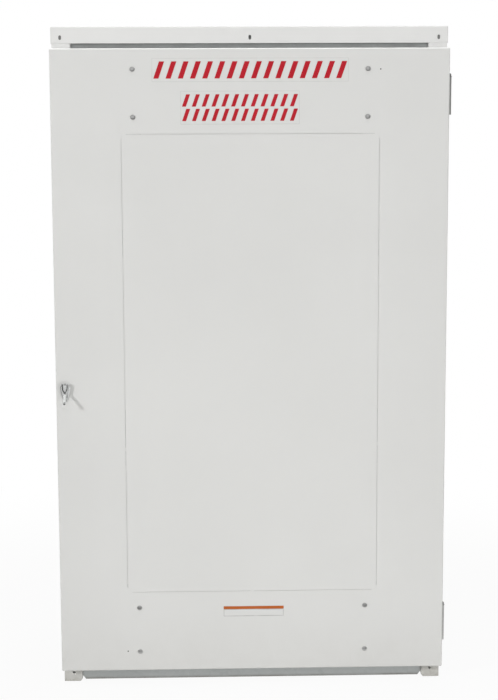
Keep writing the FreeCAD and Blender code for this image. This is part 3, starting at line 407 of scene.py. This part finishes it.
# Bright plating of the lever and its bush
chromeSpec = {"dark": (0.74, 0.755, 0.75, 1), "light": (0.85, 0.86, 0.855, 1), "rough": (0.10, 0.20),
              "bump": 0.03, "depth": 0.2 * mm}


def polishedChrome(spec):
    material, tree, shader = newMaterial("polished_chrome", Metallic=1.0)
    blotch = useGroup(tree, rolledLines).outputs["Blotch"]
    colour = mixColour(tree, blotch, spec["dark"], spec["light"])
    dress(tree, shader, colour, spreadNoise(tree, blotch, *spec["rough"]), blotch, spec)
    return material


# Rubber of the bumpers
rubberSpec = {"dark": (0.018, 0.018, 0.018, 1), "light": (0.05, 0.05, 0.048, 1), "rough": (0.62, 0.80),
              "specular": 0.3, "grain": 1500.0, "bump": 0.2, "depth": 0.2 * mm}


def blackRubber(spec):
    material, tree, shader = newMaterial("black_rubber", **{"Specular IOR Level": spec["specular"]})
    coat = useGroup(tree, sprayedCoat, PeelSize=spec["grain"])
    colour = mixColour(tree, coat.outputs["Gloss"], spec["dark"], spec["light"])
    rough = spreadNoise(tree, coat.outputs["Gloss"], *spec["rough"])
    dress(tree, shader, colour, rough, coat.outputs["Peel"], spec)
    return material


# Printed or cut vinyl: even colour with a slight drift and a soft sheen
vinylSpec = {"rough": (0.30, 0.44), "specular": 0.3, "grain": 420.0, "drift": 9.0, "bump": 0.04,
             "depth": 0.2 * mm}


def vinyl(name, pale, deep):
    material, tree, shader = newMaterial(name, **{"Specular IOR Level": vinylSpec["specular"]})
    coat = useGroup(tree, sprayedCoat, PeelSize=vinylSpec["grain"], CloudSize=vinylSpec["drift"])
    colour = mixColour(tree, coat.outputs["Cloud"], deep, pale)
    rough = spreadNoise(tree, coat.outputs["Gloss"], *vinylSpec["rough"])
    dress(tree, shader, colour, rough, coat.outputs["Peel"], vinylSpec)
    return material


# White films with a thin broken darker line along their edges: round the two that carry the stripes, and a
# printed border on the label. The line fades over its width, and noise thins it down to a share
filmSpec = {"rough": (0.30, 0.42), "grain": 420.0, "thin": 0.5, "bump": 0.04, "depth": 0.2 * mm}
filmTones = {
    "title_film": {"pale": (0.690, 0.690, 0.678, 1), "edge": (0.560, 0.560, 0.548, 1), "width": 2.5 * mm},
    "notice_film": {"pale": (0.690, 0.690, 0.678, 1), "edge": (0.560, 0.560, 0.548, 1), "width": 2.5 * mm},
    "door_label": {"pale": (0.690, 0.690, 0.680, 1), "edge": (0.34, 0.34, 0.335, 1), "width": 3.0 * mm},
}


def edgedFilm(node, tones):
    material, tree, shader = newMaterial(node + "_white")
    low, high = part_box(node)
    middle = (low + high) / 2
    part = addNode(tree, "SeparateXYZ", {0: objectPlace(tree)})
    nearest = []
    for axis, name in ((0, "X"), (2, "Z")):
        offset = mathNode(tree, "ABSOLUTE", mathNode(tree, "SUBTRACT", part.outputs[name], middle[axis]))
        nearest.append(mathNode(tree, "SUBTRACT", high[axis] - middle[axis], offset))
    inset = mathNode(tree, "MINIMUM", *nearest)
    coat = useGroup(tree, sprayedCoat, PeelSize=filmSpec["grain"])
    broken = spreadNoise(tree, coat.outputs["Gloss"], filmSpec["thin"], 1.0)
    line = mathNode(tree, "MULTIPLY", ramp(tree, inset, 1, 0, 0, tones["width"]), broken)
    rough = spreadNoise(tree, coat.outputs["Gloss"], *filmSpec["rough"])
    dress(tree, shader, mixColour(tree, line, tones["pale"], tones["edge"]), rough, coat.outputs["Peel"],
          filmSpec)
    return material


galvanised = galvanisedSheet(galvanisedSpec)
metals = {name: rolledMetal(name, tones) for name, tones in metalTones.items()}
chrome = polishedChrome(chromeSpec)
rubber = blackRubber(rubberSpec)
redVinyl = vinyl("red_vinyl", pale=(0.47, 0.008, 0.020, 1), deep=(0.43, 0.006, 0.016, 1))
orangeVinyl = vinyl("orange_vinyl", pale=(0.48, 0.118, 0.022, 1), deep=(0.43, 0.100, 0.017, 1))
print("finishes made")


# Which CAD sheet or fitting wears which finish; the lower hinge wears paler copies of the steels, painted
# light
finishOfNode = {
    bodyWhite: ("back_panel", "roof_cap"),
    sideWhitePaintedLight: ("left_side_panel", "right_side_panel"),
    doorWhite: ("door_skin",),
    galvanised: ("floor_pan", "header_rail", "lower_shelf", "upper_shelf", "lower_shelf_left_rail",
                 "lower_shelf_right_rail", "upper_shelf_left_rail", "upper_shelf_right_rail", "latch_keeper",
                 "door_stiffener_left", "door_stiffener_right"),
    metals["hinge_steel"]: ("upper_hinge_frame_leaf", "upper_hinge_door_leaf"),
    metals["painted_light_hinge_steel"]: ("lower_hinge_frame_leaf", "lower_hinge_door_leaf"),
    metals["zinc_plate"]: ("latch_cam", "latch_spindle"),
    chrome: ("latch_bush",),
    redVinyl: ("title_stripes", "notice_stripes"),
    orangeVinyl: ("door_label_band",),
}


def wear(node, material):
    mesh = frame["nodes"][node].data
    mesh.materials.clear()
    mesh.materials.append(material)


for material, nodes in finishOfNode.items():
    for node in nodes:
        wear(node, material)
for node, tones in filmTones.items():
    wear(node, edgedFilm(node, tones))
print("finishes on the CAD nodes")


# Shapes are points (N by 3, metres) with faces that look outwards. A grid holds rows of points round an
# axis, anticlockwise seen from above, and the rows go up. wrapGrid closes its ends, loopGrid joins the last
# row to the first
def wrapGrid(grid):
    rows, sides = grid.shape[:2]
    number = np.arange(rows * sides).reshape(rows, sides)
    beside = np.roll(number, -1, axis=1)
    walls = np.stack((number[:-1], beside[:-1], beside[1:], number[1:]), axis=-1).reshape(-1, 4)
    low = np.stack((beside[0], number[0], np.full(sides, rows * sides)), axis=-1)
    high = np.stack((number[-1], beside[-1], np.full(sides, rows * sides + 1)), axis=-1)
    points = np.vstack((grid.reshape(-1, 3), grid[0].mean(axis=0), grid[-1].mean(axis=0)))
    return points, walls.tolist() + low.tolist() + high.tolist()


def loopGrid(grid):
    rows, sides = grid.shape[:2]
    number = np.arange(rows * sides).reshape(rows, sides)
    above = np.roll(number, -1, axis=0)
    walls = np.stack((number, np.roll(number, -1, axis=1), np.roll(above, -1, axis=1), above), axis=-1)
    return grid.reshape(-1, 3), walls.reshape(-1, 4).tolist()


def anglesRound(sides):
    return np.linspace(0, 2 * np.pi, sides, endpoint=False)


# Turned form: x = radius cos angle, y = radius sin angle, z = height; both may also change round the axis
def turnedGrid(radius, height, sides):
    angle = anglesRound(sides)
    radius = np.asarray(radius, float).reshape(len(radius), -1)
    height = np.asarray(height, float).reshape(len(height), -1)
    level = np.broadcast_to(height, (len(height), sides))
    return np.stack((radius * np.cos(angle), radius * np.sin(angle), level), axis=-1) * mm


def joinShapes(shapes):
    starts = np.cumsum([0] + [len(points) for points, faces in shapes])
    joined = []
    for (points, faces), start in zip(shapes, starts):
        joined += [[corner + start for corner in face] for face in faces]
    return np.vstack([points for points, faces in shapes]), joined


# Turns a shape's own +z to an axis along X, Y or Z and moves it to its place
def stoodAt(shape, place, axis):
    up = np.array(axis, float)
    side = np.cross((0.0, 0.0, 1.0) if up[2] == 0 else (1.0, 0.0, 0.0), up)
    return shape[0] @ np.array((side, np.cross(up, side), up)) + place, shape[1]


# Smooth curve through values at heights: cubic pieces whose slopes are those of the neighbouring values
def easedThrough(at, knots, values):
    knots = np.asarray(knots, float)
    values = np.asarray(values, float)
    slope = np.gradient(values, knots)
    k = np.clip(np.searchsorted(knots, at) - 1, 0, len(knots) - 2)
    span = knots[k + 1] - knots[k]
    t = (at - knots[k]) / span
    start = (2 * t ** 3 - 3 * t ** 2 + 1) * values[k] + (t ** 3 - 2 * t ** 2 + t) * span * slope[k]
    return start + (3 * t ** 2 - 2 * t ** 3) * values[k + 1] + (t ** 3 - t ** 2) * span * slope[k + 1]


crispAngle = math.radians(26)  # edges that turn more than this aren't shaded smooth


def addPiece(name, shape, body, slot, material, *replaced):
    points, faces = shape
    mesh = bpy.data.meshes.new(name)
    mesh.from_pydata(points.tolist(), [], faces)
    mesh.polygons.foreach_set("use_smooth", np.ones(len(faces), bool))
    mesh.set_sharp_from_angle(angle=crispAngle)
    mesh.materials.append(material)
    piece = bpy.data.objects.new(name, mesh)
    scene.collection.objects.link(piece)
    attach(piece, body)
    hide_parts(*replaced)
    print("piece", name, len(mesh.polygons), "faces")


# Boxes of the separate solids in one CAD node, told apart by the gaps between them along each axis
solidGap = 18 * mm
wholeNode = 1.0  # wider than any gap, so that the node counts as one solid


def solidBoxes(node, gap=solidGap):
    mesh = frame["nodes"][node].data
    points = np.empty(3 * len(mesh.vertices), np.float32)
    mesh.vertices.foreach_get("co", points)
    groups = [points.reshape(-1, 3).astype(float)]
    for axis in range(3):
        ordered = [group[np.argsort(group[:, axis])] for group in groups]
        cuts = [np.flatnonzero(np.diff(group[:, axis]) > gap) + 1 for group in ordered]
        groups = [part for group, cut in zip(ordered, cuts) for part in np.split(group, cut)]
    return [(group.min(axis=0), group.max(axis=0)) for group in groups]


# Where a fastener's head meets the sheet, in metres, and how long the fastener is, in millimetres
def seatOf(box, axis, headHeight):
    low, high = box
    axis = np.array(axis, float)
    outer = np.where(axis > 0, high, low) - axis * headHeight * mm
    return np.where(axis != 0, outer, (low + high) / 2), np.abs((high - low) @ axis) / mm


# Rounded groove that climbs one pitch in each turn, cut into the plain shank as a cosine wave
def threadedRadius(spec, height):
    turn = height[:, None] / spec["pitch"] - np.arange(spec["sides"]) / spec["sides"]
    return spec["shank"] - spec["groove"] * (0.5 - 0.5 * np.cos(2 * np.pi * turn))


# Blind rivets: swollen tail inside, shank, domed head with the broken stem sunk in it. Sizes of all
# fasteners are in millimetres
rivetSpec = {"head": 4.75, "height": 1.6, "edge": 0.35, "shank": 2.4, "tail": 3.4, "swell": 3.0,
             "stem": 1.35, "sink": 0.7, "holeTaper": (0.08, 0.12), "holeRound": 0.1, "stub": 0.5,
             "stubRise": 0.15, "tailFrom": 0.15, "tailRows": 6, "domeRows": 8, "sides": 28}
sideReach = 0.5  # rivets further out than this, in metres, go through the sides


# Tail: radius tail sin a, depth swell cos a over a quarter turn. Dome: radius head cos b, with a rise in
# step with sin b that ends at the stem's hole. Then the hole's wall, its floor and the stub of the stem
def rivetShape(spec, grip):
    swell = np.linspace(spec["tailFrom"], quarterTurn, spec["tailRows"])
    lift = np.linspace(0, math.acos(spec["stem"] / spec["head"]), spec["domeRows"])
    dome = spec["edge"] + (spec["height"] - spec["edge"]) * np.sin(lift) / np.sin(lift[-1])
    hole = spec["stem"] - np.array(spec["holeTaper"])
    sunk = spec["height"] - spec["sink"]
    radius = np.hstack((spec["tail"] * np.sin(swell), spec["shank"], spec["shank"], spec["head"],
                        spec["head"] * np.cos(lift), hole, spec["stub"]))
    height = np.hstack((-grip - spec["swell"] * np.cos(swell), -grip, 0, 0, dome, sunk + spec["holeRound"],
                        sunk, sunk + spec["stubRise"]))
    return wrapGrid(turnedGrid(radius, height, spec["sides"]))


def outwardOf(box):
    middle = (box[0] + box[1]) / 2
    return (math.copysign(1, middle[0]), 0, 0) if abs(middle[0]) > sideReach else (0, 1, 0)


def makeRivets(node, spec):
    shapes = []
    for box in solidBoxes(node):
        axis = (0, 1, 0) if node == "back_rivets" else outwardOf(box)
        seat, length = seatOf(box, axis, spec["height"])
        grip = length - spec["height"] - spec["swell"]
        shapes.append(stoodAt(rivetShape(spec, grip), seat, axis))
    addPiece(node + "_formed", joinShapes(shapes), "cabinet", "rivet_aluminium",
             metals["rivet_aluminium"], node)


for node in ("back_rivets", "cap_rivets", "floor_rivets", "rail_rivets"):
    makeRivets(node, rivetSpec)


# Door bolts: bevelled end, threaded shank, low round head on a thin rim
boltSpec = {"head": 6.25, "height": 3.0, "rim": 0.6, "squareness": 2.8, "crown": 0.96, "shank": 3.0,
            "pitch": 1.0, "groove": 0.3, "plain": 3.2, "runOut": 0.2, "bevel": 0.8, "threadRows": 57,
            "headRows": 12, "sides": 40}


# Head: a superellipse over the crown's part of a quarter turn, with radius and rise in step with cos a and
# sin a raised to 2 / squareness
def boltShape(spec, length):
    sides = spec["sides"]
    thread = np.linspace(spec["bevel"] - length, -spec["plain"], spec["threadRows"])
    lift = np.linspace(0, spec["crown"] * quarterTurn, spec["headRows"])
    power = 2 / spec["squareness"]
    head = spec["head"] * np.cos(lift) ** power
    dome = spec["rim"] + (spec["height"] - spec["rim"]) * np.sin(lift) ** power
    smooth = np.hstack((spec["shank"], spec["shank"], spec["head"], head))[:, None]
    end = np.full((1, sides), spec["shank"] - spec["bevel"])
    radius = np.vstack((end, threadedRadius(spec, thread), np.broadcast_to(smooth, (len(smooth), sides))))
    height = np.hstack((-length, thread, spec["runOut"] - spec["plain"], 0, 0, dome))
    return wrapGrid(turnedGrid(radius, height, sides))


def makeBolts(spec):
    shapes = []
    for box in solidBoxes("door_bolts"):
        seat, length = seatOf(box, (0, -1, 0), spec["height"])
        shapes.append(stoodAt(boltShape(spec, length - spec["height"]), seat, (0, -1, 0)))
    addPiece("door_bolts_threaded", joinShapes(shapes), "door", "zinc_plate", metals["bolt_zinc"],
             "door_bolts")


makeBolts(boltSpec)


# Hexagon nuts: circle is the bearing face's width over the flats', cone the slope that takes the corners
# off, lead the bevel of the bore
nutSpec = {"circle": 0.95, "cone": math.tan(math.radians(30)), "lead": 0.4, "hexTurn": np.pi / 3,
           "sides": 72}
nutNodes = {
    "door_nuts": {"bore": 3.05, "body": "door"},
    "latch_nut": {"bore": 8.05, "body": "door"},
    "latch_cam_nut": {"bore": 3.05, "body": "latch"},
}


# The radius is half the flats over the cosine of the angle from the nearest flat's middle, and where it
# stands out of the bearing circle the cone lowers both ends
def nutShape(spec, flats, height, bore):
    angle = anglesRound(spec["sides"])
    outer = flats / 2 / np.cos(angle % spec["hexTurn"] - spec["hexTurn"] / 2)
    circle = np.full_like(outer, spec["circle"] * flats / 2)
    bevel = (outer - circle) * spec["cone"]
    hole = np.full_like(outer, bore)
    level = np.zeros_like(outer)
    lead = spec["lead"]
    radius = (circle, outer, outer, circle, hole + lead, hole, hole, hole + lead)
    top = level + height
    rise = (level, bevel, height - bevel, top, top, top - lead, level + lead, level)
    return loopGrid(turnedGrid(np.array(radius), np.array(rise), spec["sides"]))


def makeNuts(node, place):
    shapes = []
    for low, high in solidBoxes(node):
        size = (high - low) / mm
        seat = ((low[0] + high[0]) / 2, low[1], (low[2] + high[2]) / 2)
        shape = nutShape(nutSpec, min(size[0], size[2]), size[1], place["bore"])
        shapes.append(stoodAt(shape, seat, (0, 1, 0)))
    addPiece(node + "_bevelled", joinShapes(shapes), place["body"], "zinc_plate", metals["zinc_plate"], node)


for node, place in nutNodes.items():
    makeNuts(node, place)


# Hinge screws: point, thread, cone and a flat head with a cross recess
screwSpec = {"head": 3.8, "rim": 0.12, "cone": 1.8, "runOut": 0.3, "shank": 2.0, "groove": 0.35,
             "pitch": 1.1, "point": 2.2, "tip": 0.12, "recess": 1.15, "recessRise": 0.3, "slotHalf": 0.5,
             "slotEdge": 0.3, "slotReach": 2.3, "reachEdge": 0.4, "ringInset": 0.15, "ringRows": 22,
             "threadRows": 49, "sides": 64}


# 1 below the limit, 0 above it, and a smooth step over the edge's width between them
def within(value, limit, edge):
    step = np.clip((limit + edge / 2 - value) / edge, 0, 1)
    return step * step * (3 - 2 * step)


# The point narrows the thread to a tip. The head is rings that sink where they lie near either line of the
# cross and within its reach, deepest in the middle
def screwShape(spec, length):
    sides = spec["sides"]
    angle = anglesRound(sides)
    thread = np.linspace(-length, -spec["cone"] - spec["runOut"], spec["threadRows"])
    taper = np.minimum(1, spec["tip"] + (1 - spec["tip"]) * (thread + length) / spec["point"])[:, None]
    inset = spec["ringInset"]
    ring = np.hstack((spec["head"], np.linspace(spec["head"] - inset, inset, spec["ringRows"])))[:, None]
    across = np.minimum(np.abs(np.cos(angle)), np.abs(np.sin(angle)))[None, :] * ring
    arms = within(across, spec["slotHalf"], spec["slotEdge"])
    cross = arms * within(ring, spec["slotReach"], spec["reachEdge"])
    sunk = -spec["recess"] * cross * (1 - spec["recessRise"] * ring / spec["slotReach"])
    cone = np.broadcast_to(np.array((spec["shank"], spec["head"]))[:, None], (2, sides))
    top = np.broadcast_to(ring, (len(ring), sides))
    radius = np.vstack((threadedRadius(spec, thread) * taper, cone, top))
    lower = np.hstack((thread, -spec["cone"], -spec["rim"]))[:, None]
    height = np.vstack((np.broadcast_to(lower, (len(lower), sides)), sunk))
    return wrapGrid(turnedGrid(radius, height, sides))


def makeScrews(node, body, axis):
    shapes = []
    for box in solidBoxes(node):
        seat, length = seatOf(box, axis, 0)
        shapes.append(stoodAt(screwShape(screwSpec, length), seat, axis))
    addPiece(node + "_crossed", joinShapes(shapes), body, "zinc_plate", metals["zinc_plate"], node)


makeScrews("frame_hinge_screws", "cabinet", (0, -1, 0))
makeScrews("door_hinge_screws", "door", (0, 1, 0))


# Hinge pins: bevelled pin, rounded collar and button above the knuckles
pinSpec = {"pin": 2.0, "bevel": 0.6, "collar": 4.9, "collarHeight": 3.0, "button": 3.4, "buttonHeight": 7.0,
           "top": 10.0, "crown": 0.97, "round": 0.7, "bendRows": 6, "sides": 40}


# The collar's two edges are quarter circles, and the button's top is an ellipse that stops short of its
# middle
def pinShape(spec, length):
    bend = np.linspace(0, quarterTurn, spec["bendRows"])
    turn = spec["round"]
    lower = spec["collar"] - turn + turn * np.sin(bend)
    dome = spec["button"] * np.cos(bend * spec["crown"])
    radius = np.hstack((spec["pin"] - spec["bevel"], spec["pin"], spec["pin"], lower, lower[::-1],
                        spec["button"], dome))
    height = np.hstack((-length, spec["bevel"] - length, 0, turn - turn * np.cos(bend),
                        spec["collarHeight"] - turn + turn * np.cos(bend[::-1]), spec["collarHeight"],
                        spec["buttonHeight"] + (spec["top"] - spec["buttonHeight"]) * np.sin(bend)))
    return wrapGrid(turnedGrid(radius, height, spec["sides"]))


def makePin(node, steel):
    seat, length = seatOf(solidBoxes(node, wholeNode)[0], (0, 0, 1), pinSpec["top"])
    shape = stoodAt(pinShape(pinSpec, length - pinSpec["top"]), seat, (0, 0, 1))
    addPiece(node + "_turned", shape, "cabinet", "hinge_steel", steel, node)


makePin("upper_hinge_pin", metals["pin_steel"])
# The lower pin wears the hinge steel, a paler copy of the pin steel, painted light
makePin("lower_hinge_pin", metals["hinge_steel"])


# Door bumpers: short rubber buttons with a rounded, slightly hollow top
bumperSpec = {"foot": 5.0, "top": 2.6, "flare": 0.25, "straight": 0.35, "hollow": 0.3,
              "hollowRadius": (1.6, 0.6), "hollowShare": (0.6, 1.0), "bendRows": 9, "sides": 36}


# Above the straight part of the height the side is a quarter ellipse from the foot's radius to the top's.
# The last rows step down into the hollow
def bumperShape(spec, height):
    bend = np.linspace(0, quarterTurn, spec["bendRows"])
    side = spec["top"] + (spec["foot"] - spec["top"]) * np.cos(bend)
    rise = spec["straight"] * height + (1 - spec["straight"]) * height * np.sin(bend)
    radius = np.hstack((spec["foot"] - spec["flare"], spec["foot"], side, spec["hollowRadius"]))
    level = np.hstack((0, spec["flare"], rise, height - spec["hollow"] * np.array(spec["hollowShare"])))
    return wrapGrid(turnedGrid(radius, level, spec["sides"]))


def makeBumpers(spec):
    shapes = []
    for box in solidBoxes("door_bumpers"):
        seat, height = seatOf(box, (0, -1, 0), 0)
        shapes.append(stoodAt(bumperShape(spec, height), seat + (0, height * mm, 0), (0, -1, 0)))
    addPiece("door_bumpers_moulded", joinShapes(shapes), "cabinet", "black_rubber", rubber, "door_bumpers")


makeBumpers(bumperSpec)


# Latch lever: a shield-shaped hub and an arm that leans out of it. Heights are from the spindle's middle,
# out is the way out of the door, in millimetres
leverSpec = {
    "hub": {
        "heights": (-14.5, -12, -8, -3, 4, 10, 11.8, 14.5),
        "halfWidth": (1.4, 3.4, 6.0, 8.2, 9.0, 8.9, 8.8, 8.4),
        "halfDepth": (5.8, 5.9, 6.0, 6.0, 6.0, 6.0, 6.0, 5.1),
        "middleOut": (9.3, 9.3, 9.3, 9.3, 9.3, 9.3, 9.3, 8.4),
        "squareness": (2.1, 2.1, 2.1, 2.1, 2.1, 2.1, 2.1, 2.1),
        "topRound": 0.6,
        "lowRound": 1.0,
    },
    "arm": {
        "heights": (-38.4, -36.4, -34.0, -33.2, -26, -19, -14, -10, -4, 0),
        "halfWidth": (3.1, 3.2, 3.3, 3.4, 3.7, 4.0, 4.1, 4.1, 4.0, 4.0),
        "halfDepth": (2.2, 2.6, 3.0, 3.0, 3.1, 3.2, 3.2, 3.2, 3.0, 3.0),
        "middleOut": (33.9, 34.5, 35.2, 35.1, 27.6, 19.0, 12.9, 10.2, 9.4, 9.3),
        "squareness": (5.0, 5.0, 4.5, 4.0, 3.2, 3.2, 3.2, 3.2, 3.2, 3.2),
        "topRound": 2.0,
        "lowRound": 0.9,
    },
}
loftSpec = {"rows": 60, "roundRows": 9, "roundFrom": 0.06, "roundGap": 1.15, "sides": 64}


# Level slices, each a superellipse: half width and half depth times the cosine and sine of the angle raised
# to 2 / squareness. Both ends are rounded by a quarter circle, which scales the low end's slices and insets
# the top end's
def levelLoft(spec, loft):
    low, high = spec["heights"][0], spec["heights"][-1]
    lowRound, topRound = spec["lowRound"], spec["topRound"]
    turn = np.linspace(loft["roundFrom"], quarterTurn, loft["roundRows"])
    gap = loft["roundGap"]
    straight = np.linspace(low + gap * lowRound, high - gap * topRound, loft["rows"])
    z = np.hstack((low + lowRound * (1 - np.cos(turn)), straight,
                   high - topRound * (1 - np.sin(turn - loft["roundFrom"])), high))
    width, depth, middle, square = (easedThrough(z, spec["heights"], spec[k])[:, None]
                                    for k in ("halfWidth", "halfDepth", "middleOut", "squareness"))
    below = np.clip((low + lowRound - z) / lowRound, 0, 1)[:, None]
    above = np.clip((z - high + topRound) / topRound, 0, 1)[:, None]
    shrink = np.sqrt(1 - below ** 2)
    inset = topRound * (1 - np.sqrt(1 - above ** 2))
    angle = anglesRound(loft["sides"])
    across = np.sign(np.cos(angle)) * np.abs(np.cos(angle)) ** (2 / square)
    along = np.sign(np.sin(angle)) * np.abs(np.sin(angle)) ** (2 / square)
    x = (width * shrink - inset) * across
    y = (depth * shrink - inset) * along - middle
    return wrapGrid(np.stack((x, y, np.broadcast_to(z[:, None], x.shape)), axis=-1) * mm)


def makeLever(spec):
    spindle = sum(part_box("latch_spindle"), Vector()) / 2
    place = np.array((spindle.x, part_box("door_skin")[0].y, spindle.z))
    points, faces = joinShapes([levelLoft(part, loftSpec) for part in spec.values()])
    addPiece("latch_lever_cast", (points + place, faces), "latch", "bright_chrome", chrome, "latch_lever")


makeLever(leverSpec)


# Studio: pale floor, white surroundings, lamps that reflections don't see, and grey cards that only
# reflections see. A card is given by two opposite corners
white = (1, 1, 1, 1)
floorSpec = {"half": 40.0, "colour": (0.62, 0.62, 0.60, 1), "white": 0.94, "fadeFrom": 0.9, "fadeTo": 2.2}
worldSpec = {"light": 0.28}
cards = {
    "card_behind_camera": {"grey": 0.95, "low": (-2.6, -4.7, 0.02), "high": (2.6, -4.7, 3.2)},
    "card_right": {"grey": 0.05, "low": (2.7, -4.6, 0.02), "high": (2.7, -0.9, 3.2)},
    "card_left": {"grey": 0.22, "low": (-2.7, -3.0, 0.02), "high": (-2.7, -0.9, 3.2)},
    # Dark line along the lever's left edge
    "card_beside_left": {"grey": 0.10, "low": (-1.5, -0.9, 0.02), "high": (-1.5, 1.5, 1.3)},
    # Bright arm and dark hub edge of the lever
    "card_over_lever": {"grey": 0.88, "low": (-0.75, -0.52, 1.25), "high": (-0.3, -0.36, 1.25)},
    "card_before_lever": {"grey": 0.10, "low": (-0.75, -1.3, 1.25), "high": (-0.3, -0.52, 1.25)},
    "card_low_front": {"grey": 0.12, "low": (-2.6, -4.6, 0.01), "high": (2.6, -0.55, 0.01)},
    # Lights the flat heads of the low bolts, and ends beside the lever, whose tip stays dark
    "card_low_near": {"grey": 0.42, "low": (-0.46, -1.6, 0.015), "high": (2.6, -0.55, 0.015)},
    "card_above_front": {"grey": 0.70, "low": (-2.6, -4.6, 3.3), "high": (2.6, -1.5, 3.3)},
}


def seenDirectly(tree):
    path = addNode(tree, "LightPath")
    either = mathNode(tree, "MAXIMUM", path.outputs["Is Camera Ray"], path.outputs["Is Glossy Ray"])
    return mathNode(tree, "MAXIMUM", either, path.outputs["Is Transmission Ray"])


# Flat rectangle between opposite corners that share one coordinate
def addStagePlane(name, low, high):
    first, second = np.flatnonzero(np.array(high) > low)
    corners = np.tile(np.array(low, float), (4, 1))
    corners[1:3, first] = high[first]
    corners[2:, second] = high[second]
    mesh = bpy.data.meshes.new(name)
    mesh.from_pydata(corners.tolist(), [], [(0, 1, 2, 3)])
    plane = bpy.data.objects.new(name, mesh)
    scene.collection.objects.link(plane)
    material = bpy.data.materials.new(name)
    material.use_nodes = True
    material.node_tree.nodes.clear()
    mesh.materials.append(material)
    return plane, material.node_tree


# The floor shows the object's shadow near it and fades to plain white further out
def makeFloor(spec):
    half = spec["half"]
    tree = addStagePlane("studio_floor", (-half, -half, 0), (half, half, 0))[1]
    away = addNode(tree, "VectorMath", {0: objectPlace(tree)}, operation="LENGTH").outputs["Value"]
    paleness = ramp(tree, away, spec["white"], 1.0, spec["fadeFrom"], spec["fadeTo"])
    matt = addNode(tree, "BsdfDiffuse", {"Color": spec["colour"]})
    glow = addNode(tree, "Emission", {"Color": white, "Strength": 1.0})
    share = mathNode(tree, "MULTIPLY", seenDirectly(tree), paleness)
    mixed = addNode(tree, "MixShader", {0: share, 1: matt.outputs[0], 2: glow.outputs[0]})
    addNode(tree, "OutputMaterial", {"Surface": mixed.outputs[0]})


def makeCard(name, spec):
    card, tree = addStagePlane(name, spec["low"], spec["high"])
    tone = addNode(tree, "Emission", {"Color": white, "Strength": spec["grey"]})
    addNode(tree, "OutputMaterial", {"Surface": tone.outputs[0]})
    card.visible_camera = False
    card.visible_diffuse = False
    card.visible_transmission = False
    card.visible_shadow = False


def makeWorld(spec):
    world = bpy.data.worlds.new("studio")
    scene.world = world
    world.use_nodes = True
    tree = world.node_tree
    tree.nodes.clear()
    soft = addNode(tree, "Background", {"Color": white, "Strength": spec["light"]})
    plain = addNode(tree, "Background", {"Color": white, "Strength": 1.0})
    mixed = addNode(tree, "MixShader", {0: seenDirectly(tree), 1: soft.outputs[0], 2: plain.outputs[0]})
    addNode(tree, "OutputWorld", {"Surface": mixed.outputs[0]})


# A lamp's share is the part of a plain white level that it gives a surface facing it at its target
lamps = {
    "key_left": {"share": 0.45, "size": (0.8, 0.8), "place": (-6.2, -5.3, 3.3), "target": (0, -0.35, 0.85)},
    "overhead": {"share": 0.85, "size": (2.0, 1.8), "place": (-0.1, -0.5, 4.1), "target": (-0.1, -0.4, 1.7)},
    "near_low": {"share": 0.125, "size": (0.6, 0.3), "place": (0.05, -1.9, 0.3),
                 "target": (0.05, -0.35, 0.3)},
    "behind": {"share": 0.58, "size": (3.0, 3.0), "place": (1.6, 6.4, 2.4), "target": (0, 0.4, 0.9)},
    "right": {"share": 0.345, "size": (5.0, 3.0), "place": (5.0, -4.6, 1.8), "target": (0, -0.35, 0.8)},
}


def makeLamp(name, spec):
    lamp = bpy.data.lights.new(name, "AREA")
    lamp.shape = "RECTANGLE"
    lamp.size, lamp.size_y = spec["size"]
    run = Vector(spec["target"]) - Vector(spec["place"])
    lamp.energy = spec["share"] * math.pi ** 2 * run.length_squared
    holder = bpy.data.objects.new(name, lamp)
    holder.location = spec["place"]
    holder.rotation_euler = run.to_track_quat("-Z", "Y").to_euler()
    holder.visible_camera = False
    holder.visible_glossy = False
    scene.collection.objects.link(holder)


makeFloor(floorSpec)
makeWorld(worldSpec)
for name, spec in cards.items():
    makeCard(name, spec)
for name, spec in lamps.items():
    makeLamp(name, spec)
print("studio set")
